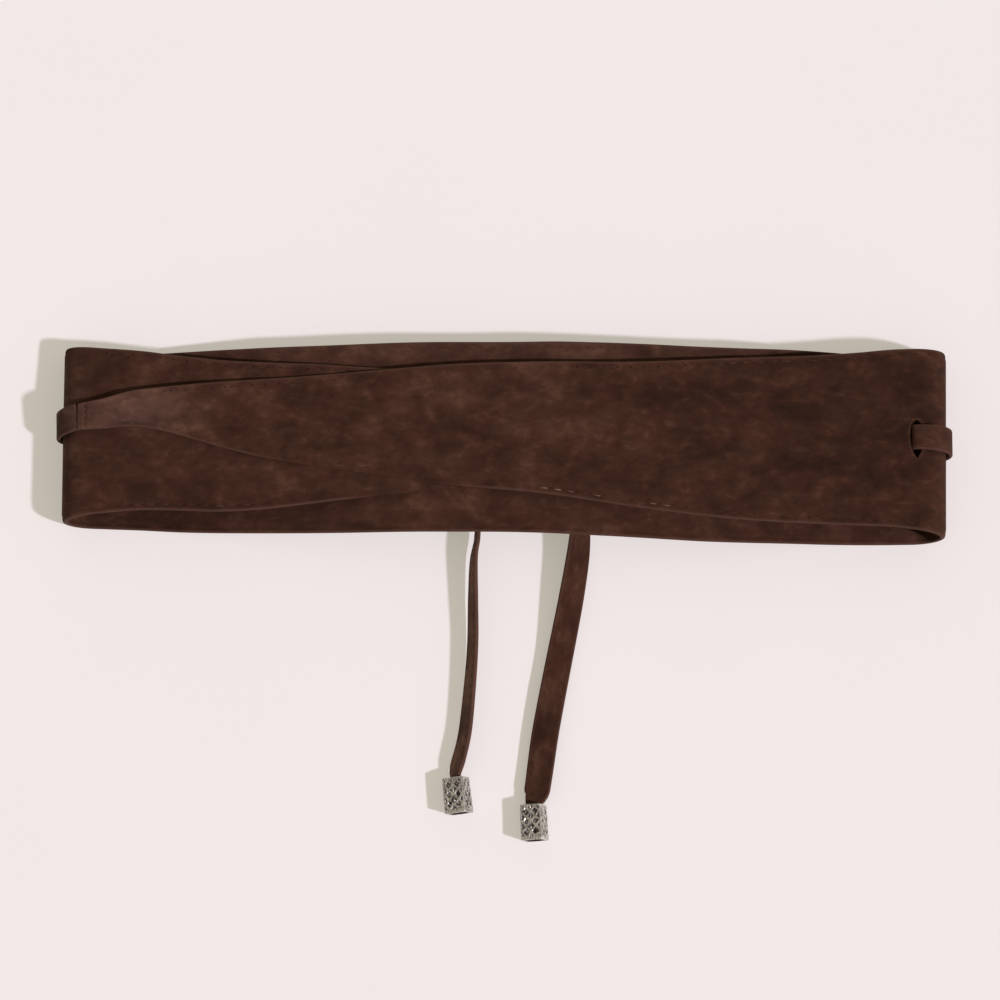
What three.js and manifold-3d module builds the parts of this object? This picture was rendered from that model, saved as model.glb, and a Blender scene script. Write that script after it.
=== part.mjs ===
// Wrap belt of suede, wrapped once as it is worn and laid on its side: a flattened loop with its
// fronts on top and its back below. One long band is widest at its middle, which is the back, and
// tapers at both ends into a narrow strap. Both tapered ends cross on the front, the straps go on
// round the folds to the back, where they are tied once, and their free ends carry square beads.
// Millimetres, +Z up, +X along the loop, -Y towards the free ends.

import * as THREE from "three";
import { mergeVertices } from "three/addons/utils/BufferGeometryUtils.js";
import Module from "manifold-3d";

const { clamp, degToRad, lerp, mapLinear, radToDeg, smoothstep } = THREE.MathUtils;

// Leather and clearances
const PANEL_THICKNESS = 2.0;
const STRAP_THICKNESS = 1.8;
const STRAP_WIDTH = 11.2;
const GAP = 0.35; // between pieces, and between layers, that lie on each other

// The flattened loop, seen along Y: middle heights of its layers, and its two folds
const FOLD_OUTER_X = 186.8;
const FOLD_CORNER = { drawnIn: 0.7, over: 3.5, fromX: 168 }; // the folds' loose corners draw in
const RIGHT_FOLD_LEAN = { perMm: 0.016, fromY: 22 }; // the right fold leans out towards +Y
const BAND_IS_WIDE = { from: 30, fully: 60 }; // only where the band is this wide
const BACK_REST_Z = PANEL_THICKNESS / 2;
const INNER_FRONT_Z = 23.25;
const OUTER_FRONT_Z = INNER_FRONT_Z + PANEL_THICKNESS + GAP;
const BACK_CREST_Z = INNER_FRONT_Z - PANEL_THICKNESS - GAP;
const CREST_FROM_X = -28; // the back arches over the knot between these two places
const CREST_TO_X = 42;
const BACK_LIFTS_X = 168; // and lies on the surface outside these

// The straps where they go round the folds
const STRAP_BULGE_X = 188.5; // outermost middle line
const STRAP_REST_Z = STRAP_THICKNESS / 2;
const CLIMB_ENDS_AT = 38; // degrees round the right fold, from its top
const OVER_LEFT_Y = 31.3; // middle of each strap where it starts round its fold
const OVER_RIGHT_Y = 20.9;
const STRAP_OVER_RIGHT_Z = OUTER_FRONT_Z + PANEL_THICKNESS / 2 + GAP + STRAP_THICKNESS / 2;
const SEAM_LEFT_X = -177.9; // end of the outer front, where its strap is sewn on
const SEAM_RIGHT_X = 158.7; // end of the inner front, below the outer one

// The back's low ridge over each strap below it, which dies out as the back rises
const RIDGE = { height: STRAP_THICKNESS + 0.5, flatFor: 8, endsAt: 24, goneAtZ: 14 };

// The slot that lets the inner strap out through the outer front
const SLOT = { x: 173.4, low: 13.7, high: 29.9, width: 6.4, shoulder: 5 };

// The knot: both straps, gathered narrower, turn round each other
const KNOT = { fromX: -4, toX: 23, y: 18, z: 9, width: 8.6, halfTurns: 3, gap: 1.1 };
const STRAP_LIFTS = { fromX: -62, toX: 76 }; // the straps lie flat outside these places
const STRAP_RUN_Y = { left: 28.3, knot: KNOT.y + 1.2, right: 20.8 };
const LONGEST_STEP = 8; // along a strap

// The end beads: square tubes, a little wider at their outer end
const BEAD = { length: 15.0, mouth: 9.4, end: 9.9, chamfer: 0.8, bore: 3.4, relief: 0.4 };
const BEAD_RIM = { mouth: 1.1, end: 1.9 };
const TRELLIS = { rib: 0.75, pellet: 1.0, rise: 0.64, root: 0.5 };
const STRAP_TIP = { width: 5.6, before: 0.6, turned: 5, depth: 10, z: 5.9 }; // inside a bead

// Slow swells of the lying leather, as shares of its height. They fade out over the free ends.
const LONG_SWELL = { share: 0.018, wave: 58, start: 0.8 };
const SHORT_SWELL = { share: 0.0105, wave: 24, slant: 19 };
const SWELLS_FADE_Y = { from: -20, to: -45 };

// Colours
const SUEDE = { color: 0x3f2a22, roughness: 0.95, metalness: 0 };
const SILVER = { color: 0xb4b0a6, roughness: 0.35, metalness: 1 };

function table(columns, rows) {
  return rows.map((row) => Object.fromEntries(columns.map((name, i) => [name, row[i]])));
}

// Edges of the outer front, from its narrow end at the left fold to the right fold
const OUTER_FRONT = table(["x", "low", "high"], [
  [SEAM_LEFT_X, 25.5, 36.9],
  [-169.6, 25.9, 39.0],
  [-157.0, 26.8, 42.0],
  [-144.5, 25.2, 43.4],
  [-131.9, 21.7, 44.5],
  [-110.9, 15.9, 46.0],
  [-89.9, 11.7, 47.9],
  [-50.5, 6.2, 51.3],
  [-21.1, 1.9, 53.6],
  [15.0, -1.7, 54.7],
  [56.9, -7.9, 54.6],
  [96.8, -12.7, 56.2],
  [132.5, -14.6, 57.4],
  [150.0, -15.3, 58.7],
  [164.0, -15.8, 60.0],
  [174.2, -16.2, 60.4],
]);

// Edges of the back, from the left fold to the right one
const BACK = table(["x", "low", "high"], [
  [-175.4, -12.6, 61.6],
  [-155.0, -13.4, 62.5],
  [-137.0, -14.6, 63.1],
  [-110.0, -15.8, 63.6],
  [-70.0, -17.0, 63.6],
  [-30.0, -17.2, 64.1],
  [5.0, -17.4, 64.2],
  [20.0, -17.9, 64.4],
  [38.0, -18.8, 64.0],
  [57.0, -19.7, 63.5],
  [84.0, -20.6, 62.9],
  [104.0, -20.4, 62.9],
  [121.0, -20.1, 63.1],
  [138.0, -19.9, 62.7],
  [174.2, -19.0, 59.8],
]);

// Edges of the inner front, from the left fold to its narrow end below the outer front
const INNER_FRONT = table(["x", "low", "high"], [
  [-175.4, -10.2, 61.7],
  [-153.0, -8.3, 59.9],
  [-136.2, -8.5, 57.9],
  [-119.8, -9.0, 56.0],
  [-101.3, -8.0, 55.0],
  [-81.2, -5.6, 54.3],
  [-58.5, -2.8, 52.8],
  [-21.1, 1.2, 50.4],
  [15.0, 3.4, 47.0],
  [57.0, 6.6, 42.2],
  [97.0, 10.4, 37.2],
  [132.0, 15.0, 31.6],
  [150.0, 16.9, 29.0],
  [SEAM_RIGHT_X, 17.1, 28.5],
]);

// Where across the band its points lie, from its low edge to its high one
const PANEL_COLUMNS = [0, 0.035, 0.12, 0.25, 0.38, 0.5, 0.62, 0.75, 0.88, 0.965, 1];

// Middle line and width of the inner strap where it climbs through the slot, to the fold's shoulder
const CLIMB = table(["x", "y", "z", "width"], [
  [SEAM_RIGHT_X + GAP, 22.8, 23.1, STRAP_WIDTH],
  [166.0, 22.7, 23.1, STRAP_WIDTH],
  [170.1, 22.5, 23.1, 10.8],
  [171.9, 22.4, 23.6, 10.2],
  [172.8, 22.3, 24.8, 10.0],
  [173.7, 22.2, 26.2, 9.8],
  [174.6, 21.9, 27.7, 10.0],
  [176.0, 21.4, 28.8, 10.6],
  [178.2, 21.0, 28.6, 11.2],
  [180.6, OVER_RIGHT_Y, 27.4, STRAP_WIDTH],
]);

// Free end of the outer strap: it turns on its edge out of the knot, rolls flat under the back's
// edge and comes down to its bead. lean is the turn of its width from level, in degrees.
const RIGHT_END = table(["x", "y", "z", "lean", "width"], [
  [31.3, 8.4, 9.2, -90, 10.0],
  [32.3, 0.0, 9.8, -77, 11.0],
  [32.5, -9.0, 10.0, -60, 11.4],
  [31.9, -17.7, 9.4, -42, 11.5],
  [31.0, -26.2, 8.4, -33, 11.5],
  [28.3, -42.8, 7.1, -22, 11.4],
  [25.9, -55.3, 5.5, -17, 11.4],
  [23.4, -67.8, 4.4, -13, 11.4],
  [20.1, -84.7, 4.5, -8, 11.4],
  [17.0, -101.7, 4.6, -2, 11.4],
  [15.2, -114.4, 5.2, 6, 11.3],
  [14.0, -122.9, 5.8, 12, 11.0],
  [13.3, -126.8, 6.0, 15, 8.8],
]);

// Free end of the inner strap: it stays on its edge all the way down to its bead
const LEFT_END = table(["x", "y", "z", "lean", "width"], [
  [-12.0, 8.9, 9.4, 90, 10.0],
  [-11.6, -4.0, 9.7, 88, 11.0],
  [-11.4, -17.6, 9.6, 84, 11.1],
  [-12.8, -26.1, 9.0, 80, 11.1],
  [-13.2, -42.8, 8.3, 74, 11.1],
  [-13.3, -62.0, 7.3, 71, 11.1],
  [-14.9, -85.0, 6.6, 67, 11.1],
  [-16.8, -101.8, 6.4, 64, 11.1],
  [-19.1, -111.5, 6.3, 62, 11.2],
  [-20.4, -116.4, 6.1, 61, 9.0],
]);

// The beads: middle of the mouth, heading of the axis from -Y in plan, and turn about the axis
const BEADS = {
  bead_right: { mouth: [12.0, -130.7], heading: 2.8, turn: 18 },
  bead_left: { mouth: [-20.6, -119.4], heading: 5.7, turn: 16 },
};

// Geometry helpers

// A smooth curve through the named columns of a table, as a function of its first column
function through(rows, ...columns) {
  const [key] = Object.keys(rows[0]);
  const places = rows.map((row) => row[key]);
  const values = rows.flatMap((row) => columns.map((name) => row[name]));
  const curve = new THREE.CubicInterpolant(places, values, columns.length);
  return (place) => Array.from(curve.evaluate(place));
}

function steps(from, to, count) {
  return Array.from({ length: count + 1 }, (_, i) => from + ((to - from) * i) / count);
}

// A closed wall of even thickness over rows of middle points, a row to each station
function wallOver(rows, normals, thickness) {
  const ring = 2 * rows[0].length;
  const last = rows.length - 1;
  const corners = rows.flatMap((row, i) => {
    const half = normals[i].clone().multiplyScalar(thickness / 2);
    const upper = row.map((point) => point.clone().add(half));
    const lower = row.map((point) => point.clone().sub(half));
    return [...upper, ...lower.reverse()];
  });
  const faces = [];
  const quad = (a, b, c, d) => faces.push(a, b, c, a, c, d);
  for (let i = 0; i < last; i++)
    for (let k = 0; k < ring; k++) {
      const next = (k + 1) % ring;
      quad(i * ring + k, i * ring + next, (i + 1) * ring + next, (i + 1) * ring + k);
    }
  for (let k = 0; k < ring / 2 - 1; k++) {
    const across = ring - 1 - k;
    quad(k, across, across - 1, k + 1);
    quad(last * ring + k, last * ring + k + 1, last * ring + across - 1, last * ring + across);
  }
  const geometry = new THREE.BufferGeometry().setFromPoints(corners);
  return outward(geometry.setIndex(faces));
}

// The same closed geometry with its faces pointing out
function outward(geometry) {
  const faces = geometry.index.array;
  const [a, b, c] = [0, 1, 2].map(() => new THREE.Vector3());
  let volume = 0;
  for (let i = 0; i < faces.length; i += 3) {
    [a, b, c].forEach((v, k) => v.fromBufferAttribute(geometry.attributes.position, faces[i + k]));
    volume += a.dot(b.cross(c));
  }
  if (volume < 0)
    for (let i = 0; i < faces.length; i += 3)
      [faces[i], faces[i + 1]] = [faces[i + 1], faces[i]];
  return geometry;
}

function reshape(geometry, move) {
  const position = geometry.attributes.position;
  const point = new THREE.Vector3();
  for (let i = 0; i < position.count; i++) {
    move(point.fromBufferAttribute(position, i));
    position.setXYZ(i, point.x, point.y, point.z);
  }
  return geometry;
}

// Every layer rises and falls together with the swells, and what rests lies flat
function settle(geometry) {
  return reshape(geometry, (p) => {
    const long = LONG_SWELL.share * Math.sin(p.x / LONG_SWELL.wave + LONG_SWELL.start);
    const short = SHORT_SWELL.share * Math.sin(p.x / SHORT_SWELL.wave + p.y / SHORT_SWELL.slant);
    const kept = smoothstep(p.y, SWELLS_FADE_Y.to, SWELLS_FADE_Y.from);
    p.z = Math.max(0, p.z) * (1 + (long + short) * kept);
  });
}

const wasm = await Module();
wasm.setup();

function solid(geometry) {
  const bare = geometry.clone();
  bare.deleteAttribute("normal");
  bare.deleteAttribute("uv");
  const merged = mergeVertices(bare, 1e-4);
  const vertProperties = merged.attributes.position.array;
  const triVerts = new Uint32Array(merged.index.array);
  return new wasm.Manifold(new wasm.Mesh({ numProp: 3, vertProperties, triVerts }));
}

function geometryOf(made) {
  const mesh = made.getMesh();
  const position = new THREE.BufferAttribute(new Float32Array(mesh.vertProperties), 3);
  const geometry = new THREE.BufferGeometry().setAttribute("position", position);
  return geometry.setIndex(new THREE.BufferAttribute(new Uint32Array(mesh.triVerts), 1));
}

// The panel

const LEFT_FOLD_R = (INNER_FRONT_Z - BACK_REST_Z) / 2;
const RIGHT_FOLD_R = (OUTER_FRONT_Z - BACK_REST_Z) / 2;
const LEFT_FOLD_X = -FOLD_OUTER_X + PANEL_THICKNESS / 2 + LEFT_FOLD_R;
const RIGHT_FOLD_X = FOLD_OUTER_X - PANEL_THICKNESS / 2 - RIGHT_FOLD_R;

// Middle line of a strap round the left fold, which the narrow end of the outer front joins
const LEFT_STRAP_LOOP = {
  x: LEFT_FOLD_X,
  z: (OUTER_FRONT_Z + STRAP_REST_Z) / 2,
  reach: STRAP_BULGE_X + LEFT_FOLD_X,
  rise: (OUTER_FRONT_Z - STRAP_REST_Z) / 2,
};
const RIGHT_STRAP_LOOP = {
  x: RIGHT_FOLD_X,
  z: (STRAP_OVER_RIGHT_Z + STRAP_REST_Z) / 2,
  reach: STRAP_BULGE_X - RIGHT_FOLD_X,
  rise: (STRAP_OVER_RIGHT_Z - STRAP_REST_Z) / 2,
};

function outerFrontHeight(x) {
  const { x: foldX, z, reach, rise } = LEFT_STRAP_LOOP;
  const past = Math.max(0, foldX - x) / reach;
  return z + rise * Math.sqrt(1 - past * past);
}

function backHeight(x) {
  const leftRise = smoothstep(x, -BACK_LIFTS_X, CREST_FROM_X);
  const rightRise = smoothstep(-x, -BACK_LIFTS_X, -CREST_TO_X);
  return BACK_REST_Z + (BACK_CREST_Z - BACK_REST_Z) * Math.min(leftRise, rightRise);
}

function layer(rows, height, from, to, count) {
  const edges = through(rows, "low", "high");
  return steps(from, to, count).map((x) => {
    const [low, high] = edges(x);
    return { x, z: height(x), low, high };
  });
}

// The half turn of a fold between two layers, without its end stations
function fold(before, after, centreX, side, count) {
  const radius = Math.abs(before.z - after.z) / 2;
  const startAngle = before.z > after.z ? 0 : Math.PI;
  const turn = steps(0, 1, count).slice(1, -1);
  return turn.map((share) => {
    const angle = startAngle + Math.PI * share;
    const mix = Math.sqrt(share); // the edges lean over before the fold is reached
    return {
      x: centreX + side * radius * Math.abs(Math.sin(angle)),
      z: (before.z + after.z) / 2 + radius * Math.cos(angle),
      low: lerp(before.low, after.low, mix),
      high: lerp(before.high, after.high, mix),
    };
  });
}

// Middle of each strap's run on the surface below the back
function strapRunY(x) {
  if (x < KNOT.fromX)
    return mapLinear(x, LEFT_FOLD_X, KNOT.fromX, STRAP_RUN_Y.left, STRAP_RUN_Y.knot);
  return mapLinear(x, KNOT.toX, RIGHT_FOLD_X, STRAP_RUN_Y.knot, STRAP_RUN_Y.right);
}

// The low ridge of the back over a strap below it, which dies out as the back rises
function ridgeOverStrap(point) {
  const aside = Math.abs(point.y - strapRunY(point.x));
  const ridge = RIDGE.height * (1 - smoothstep(aside, RIDGE.flatFor, RIDGE.endsAt));
  return ridge * clamp((RIDGE.goneAtZ - point.z) / (RIDGE.goneAtZ - BACK_REST_Z), 0, 1);
}

// How far a point of a fold moves along X: the right fold leans, and loose corners draw in
function foldShift(point, low, high) {
  const isWide = smoothstep(high - low, BAND_IS_WIDE.from, BAND_IS_WIDE.fully);
  const isFold = isWide * smoothstep(Math.abs(point.x), FOLD_CORNER.fromX, FOLD_OUTER_X);
  const toEdge = Math.min(point.y - low, high - point.y);
  const drawnIn = FOLD_CORNER.drawnIn * Math.max(0, 1 - toEdge / FOLD_CORNER.over) ** 2;
  const lean = point.x > 0 ? RIGHT_FOLD_LEAN.perMm * (point.y - RIGHT_FOLD_LEAN.fromY) : 0;
  return isFold * (lean - Math.sign(point.x) * drawnIn);
}

function panelGeometry() {
  const tip = layer(OUTER_FRONT, outerFrontHeight, SEAM_LEFT_X, LEFT_FOLD_X, 1).slice(0, 1);
  const outer = layer(OUTER_FRONT, outerFrontHeight, LEFT_FOLD_X, RIGHT_FOLD_X, 29);
  const back = layer(BACK, backHeight, RIGHT_FOLD_X, LEFT_FOLD_X, 34);
  const inner = layer(INNER_FRONT, () => INNER_FRONT_Z, LEFT_FOLD_X, SEAM_RIGHT_X, 28);
  const rightFold = fold(outer.at(-1), back[0], RIGHT_FOLD_X, 1, 10);
  const leftFold = fold(back.at(-1), inner[0], LEFT_FOLD_X, -1, 10);
  const stations = [...tip, ...outer, ...rightFold, ...back, ...leftFold, ...inner];
  const normals = stations.map((_, i) => {
    const before = stations[Math.max(0, i - 1)];
    const after = stations[Math.min(stations.length - 1, i + 1)];
    return new THREE.Vector3(before.z - after.z, 0, after.x - before.x).normalize();
  });
  const rows = stations.map(({ x, z, low, high }) =>
    PANEL_COLUMNS.map((share) => {
      const point = new THREE.Vector3(x, low + share * (high - low), z);
      const lift = ridgeOverStrap(point);
      point.x += foldShift(point, low, high);
      point.z += lift;
      return point;
    }),
  );
  return settle(wallOver(rows, normals, PANEL_THICKNESS));
}

// An eye-shaped cutter, full at its upper end and pointed at its lower one
function slotCutter() {
  const middle = (SLOT.low + SLOT.high) / 2;
  const [bottom, top] = [SLOT.low - middle, SLOT.high - middle];
  const handle = (SLOT.width / 2) * (4 / 3); // a curve of this handle reaches half the width
  const eye = new THREE.Shape();
  eye.moveTo(0, bottom);
  eye.bezierCurveTo(handle, -SLOT.shoulder, handle, top, 0, top);
  eye.bezierCurveTo(-handle, top, -handle, -SLOT.shoulder, 0, bottom);
  const depth = 6 * PANEL_THICKNESS;
  const cutter = new THREE.ExtrudeGeometry(eye, { depth, curveSegments: 8, bevelEnabled: false });
  return cutter.translate(SLOT.x, middle, OUTER_FRONT_Z - depth / 2);
}

function panel() {
  return geometryOf(solid(panelGeometry()).subtract(solid(slotCutter())));
}

// The straps

// A station of a flat strap: the middle, the direction of its width, and the width. Its section
// is square to the strap, unless a normal is given that sets it otherwise.
function station(x, y, z, across, width = STRAP_WIDTH, normal = null) {
  return { centre: new THREE.Vector3(x, y, z), across: across.clone(), width, normal };
}

const ALONG_Y = new THREE.Vector3(0, 1, 0);

function roundFold(loop, side, fromAngle, fromY) {
  return steps(fromAngle, 180, 12).map((degrees) => {
    const angle = degToRad(degrees);
    const x = loop.x + side * loop.reach * Math.sin(angle);
    const z = loop.z + loop.rise * Math.cos(angle);
    const share = Math.sin((Math.PI / 2) * (degrees - fromAngle) / (180 - fromAngle));
    return station(x, lerp(fromY, strapRunY(loop.x), share), z, ALONG_Y);
  });
}

// Lying flat below the back
function flatRun(fromX, toX) {
  return steps(fromX, toX, 8).slice(1, -1).map((x) => station(x, strapRunY(x), STRAP_REST_Z, ALONG_Y));
}

// From lying flat below the back, up to the knot and on edge. The turn lags behind the rise, so
// that no edge dips below the surface.
function runToKnot(fromX, toX, endSide) {
  const onEdge = new THREE.Vector3(0, 0, endSide);
  return steps(0, 1, 10).map((share) => {
    const x = lerp(fromX, toX, share);
    const rise = smoothstep(share, 0, 1);
    const z = lerp(STRAP_REST_Z, KNOT.z, rise);
    const turned = (Math.PI / 2) * rise * rise;
    const across = ALONG_Y.clone().multiplyScalar(Math.cos(turned));
    across.addScaledVector(onEdge, Math.sin(turned));
    return station(x, strapRunY(x), z, across, lerp(STRAP_WIDTH, KNOT.width, rise));
  });
}

// One strap of the twisted pair, from the knot's left end to its right one
function throughKnot(side) {
  const offset = (side * (STRAP_THICKNESS + KNOT.gap)) / 2;
  return steps(0, 1, 36).map((share) => {
    const angle = Math.PI * KNOT.halfTurns * share;
    const x = lerp(KNOT.fromX, KNOT.toX, share);
    const across = new THREE.Vector3(0, -Math.sin(angle), Math.cos(angle));
    const y = KNOT.y + offset * Math.cos(angle);
    const z = KNOT.z + offset * Math.sin(angle);
    const normal = new THREE.Vector3(0, -side * Math.cos(angle), -side * Math.sin(angle));
    return station(x, y, z, across, KNOT.width, normal);
  });
}

// A quarter turn on edge out of the knot, from along X to along -Y
function turnOut(from, to, width) {
  return steps(0, 90, 5).slice(1, -1).map((degrees) => {
    const angle = degToRad(degrees);
    const x = lerp(from.centre.x, to.x, Math.sin(angle));
    const y = lerp(to.y, from.centre.y, Math.cos(angle));
    const z = lerp(from.centre.z, to.z, degrees / 90);
    return station(x, y, z, from.across, lerp(width, to.width, degrees / 90));
  });
}

// A free end, and its narrow tip on the axis of its bead
function freeEnd(rows, { mouth: [mouthX, mouthY], heading }) {
  const angle = degToRad(heading);
  const tip = [-STRAP_TIP.before, STRAP_TIP.turned, STRAP_TIP.depth].map((depth) => ({
    x: mouthX + depth * Math.sin(angle),
    y: mouthY - depth * Math.cos(angle),
    z: STRAP_TIP.z,
    lean: rows.at(-1).lean,
    width: STRAP_TIP.width,
  }));
  return [...rows, ...tip].map(({ x, y, z, lean, width }) => {
    const rolled = degToRad(lean);
    return station(x, y, z, new THREE.Vector3(Math.cos(rolled), 0, Math.sin(rolled)), width);
  });
}

// A closed strap over stations: one smooth curve through their middles, in short enough steps
function strapGeometry(stations) {
  const curve = new THREE.CatmullRomCurve3(stations.map((s) => s.centre));
  const segments = stations.length - 1;
  const places = stations.slice(1).flatMap((to, i) => {
    const count = Math.ceil(stations[i].centre.distanceTo(to.centre) / LONGEST_STEP);
    return steps(i, i + 1, count).slice(0, -1);
  });
  const rows = [];
  const normals = [];
  for (const place of [...places, segments]) {
    const i = Math.min(Math.floor(place), segments - 1);
    const [a, b, share] = [stations[i], stations[i + 1], place - i];
    const centre = curve.getPoint(place / segments);
    const tangent = curve.getTangent(place / segments);
    const across = a.across.clone().lerp(b.across, share);
    const given = share === 0 ? a.normal : share === 1 ? b.normal : null;
    if (!given) across.addScaledVector(tangent, -across.dot(tangent)).normalize();
    const half = lerp(a.width, b.width, share) / 2;
    rows.push([-half, 0, half].map((reach) => centre.clone().addScaledVector(across, reach)));
    normals.push(given ?? tangent.clone().cross(across).normalize());
  }
  return settle(wallOver(rows, normals, STRAP_THICKNESS));
}

function strapOuter() {
  const loop = LEFT_STRAP_LOOP;
  const startAngle = Math.asin((loop.x - SEAM_LEFT_X + GAP) / loop.reach);
  const start = radToDeg(startAngle);
  const over = roundFold(loop, -1, start, OVER_LEFT_Y);
  over[0].normal = new THREE.Vector3(0, 0, -1); // cut square, to meet the panel's end
  const flat = flatRun(loop.x, STRAP_LIFTS.fromX);
  const climb = runToKnot(STRAP_LIFTS.fromX, KNOT.fromX, 1).slice(0, -1);
  const knot = throughKnot(1);
  const away = turnOut(knot.at(-1), RIGHT_END[0], KNOT.width);
  const end = freeEnd(RIGHT_END, BEADS.bead_right);
  return strapGeometry([...over, ...flat, ...climb, ...knot, ...away, ...end]);
}

function strapInner() {
  const out = CLIMB.map(({ x, y, z, width }) => station(x, y, z, ALONG_Y, width));
  out[0].normal = new THREE.Vector3(0, 0, 1); // cut square, to meet the panel's end
  const loop = RIGHT_STRAP_LOOP;
  const over = roundFold(loop, 1, CLIMB_ENDS_AT, OVER_RIGHT_Y);
  const flat = flatRun(loop.x, STRAP_LIFTS.toX);
  const climb = runToKnot(STRAP_LIFTS.toX, KNOT.toX, -1).slice(0, -1);
  const knot = throughKnot(-1).reverse();
  const away = turnOut(knot.at(-1), LEFT_END[0], KNOT.width);
  const end = freeEnd(LEFT_END, BEADS.bead_left);
  return strapGeometry([...out, ...over, ...flat, ...climb, ...knot, ...away, ...end]);
}

// The beads, along +Z from the mouth, as straight square tubes that are then tapered

// Square with cut corners
function squareOutline(side, chamfer) {
  const half = side / 2;
  const cut = half - chamfer;
  const corners = [[half, cut], [cut, half], [-cut, half], [-half, cut]];
  const all = [...corners, ...corners.map(([x, y]) => [-x, -y])];
  return new THREE.Shape(all.map(([x, y]) => new THREE.Vector2(x, y)));
}

function prism(outline, from, to) {
  const options = { depth: to - from, bevelEnabled: false, curveSegments: 6 };
  return new THREE.ExtrudeGeometry(outline, options).translate(0, 0, from);
}

// One side's raised trellis: ribs crossed into lozenges, with pellets where they cross on the
// middle line
function trellis(width, length) {
  const lozenge = { wide: width / 2, long: length / 3 };
  const pieces = [];
  const diagonal = Math.hypot(width, 2 * lozenge.long);
  const slope = Math.atan2(2 * lozenge.long, width);
  for (const sense of [-1, 1])
    for (const shift of [-2, -1, 0, 1, 2]) {
      const rib = new THREE.BoxGeometry(diagonal * 1.2, TRELLIS.rib, BEAD.relief + TRELLIS.root);
      rib.rotateZ(sense * slope);
      pieces.push(rib.translate(0, shift * lozenge.long, (BEAD.relief - TRELLIS.root) / 2));
    }
  for (const row of [-1, 0, 1]) {
    const height = TRELLIS.rise + TRELLIS.root;
    const pellet = new THREE.ConeGeometry(TRELLIS.pellet, height, 6).rotateX(Math.PI / 2);
    pieces.push(pellet.translate(0, row * lozenge.long, height / 2 - TRELLIS.root));
  }
  const field = new THREE.BoxGeometry(width, length, 4);
  return pieces.map(solid).reduce((sum, piece) => sum.add(piece)).intersect(solid(field));
}

function beadGeometry() {
  const side = (BEAD.mouth + BEAD.end) / 2;
  const ground = side - 2 * BEAD.relief;
  const field = { width: ground - 2 * BEAD.chamfer, length: BEAD.length - BEAD_RIM.mouth - BEAD_RIM.end };
  const fieldMiddle = BEAD_RIM.mouth + field.length / 2;
  const rimOutline = squareOutline(side, BEAD.chamfer);
  let made = solid(prism(squareOutline(ground, BEAD.chamfer), 0, BEAD.length));
  made = made.add(solid(prism(rimOutline, 0, BEAD_RIM.mouth)));
  made = made.add(solid(prism(rimOutline, BEAD.length - BEAD_RIM.end, BEAD.length)));
  const relief = trellis(field.width, field.length);
  for (const quarter of [0, 1, 2, 3]) {
    const toSide = new THREE.Matrix4().makeTranslation(0, 0, ground / 2);
    toSide.premultiply(new THREE.Matrix4().makeRotationX(-Math.PI / 2));
    toSide.premultiply(new THREE.Matrix4().makeTranslation(0, 0, fieldMiddle));
    toSide.premultiply(new THREE.Matrix4().makeRotationZ((quarter * Math.PI) / 2));
    made = made.add(relief.transform(toSide.elements));
  }
  const bore = new THREE.CylinderGeometry(BEAD.bore, BEAD.bore, BEAD.length + 2, 16);
  made = made.subtract(solid(bore.rotateX(Math.PI / 2).translate(0, 0, BEAD.length / 2)));
  const widen = (BEAD.end - BEAD.mouth) / side;
  return reshape(geometryOf(made), (p) => {
    const scale = 1 + widen * (p.z / BEAD.length - 0.5);
    p.x *= scale;
    p.y *= scale;
  });
}

// Turned so that the bead points along its heading and rests with its lowest corner on the surface
function placeBead(mesh, { mouth, heading, turn }) {
  const [angle, about] = [degToRad(heading), degToRad(turn)];
  const axis = new THREE.Vector3(Math.sin(angle), -Math.cos(angle), 0);
  const level = new THREE.Vector3(Math.cos(angle), Math.sin(angle), 0);
  const up = new THREE.Vector3(0, 0, 1);
  const across = level.clone().multiplyScalar(Math.cos(about)).addScaledVector(up, Math.sin(about));
  mesh.quaternion.setFromRotationMatrix(
    new THREE.Matrix4().makeBasis(across, axis.clone().cross(across), axis),
  );
  mesh.position.set(...mouth, 0);
  mesh.position.z = -new THREE.Box3().setFromObject(mesh, true).min.z;
}

// Assembly

function piece(name, geometry, finish) {
  const mesh = new THREE.Mesh(geometry, new THREE.MeshStandardMaterial(finish));
  mesh.name = name;
  return mesh;
}

const lying = new THREE.Group();
lying.add(piece("panel", panel(), SUEDE));
lying.add(piece("strap_outer", strapOuter(), SUEDE));
lying.add(piece("strap_inner", strapInner(), SUEDE));
for (const [name, place] of Object.entries(BEADS)) {
  const bead = piece(name, beadGeometry(), SILVER);
  placeBead(bead, place);
  lying.add(bead);
}

// The origin is on the surface, below the middle of the whole belt
const box = new THREE.Box3().setFromObject(lying, true);
const middle = box.getCenter(new THREE.Vector3());
lying.position.set(-middle.x, -middle.y, -box.min.z);

const wrapBelt = new THREE.Group();
wrapBelt.add(lying);

export default wrapBelt;
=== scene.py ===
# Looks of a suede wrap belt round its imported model: a finer band and straps with rounded, stitched
# edges, cast silver beads, a pale floor, soft light and a camera. Shapes are worked out in
# millimetres in the belt's layout, +X along the loop, -Y towards the free ends and +Z up, and
# are then put in the frame in metres.

import math

import bpy
import numpy as np
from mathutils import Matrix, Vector, noise


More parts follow.
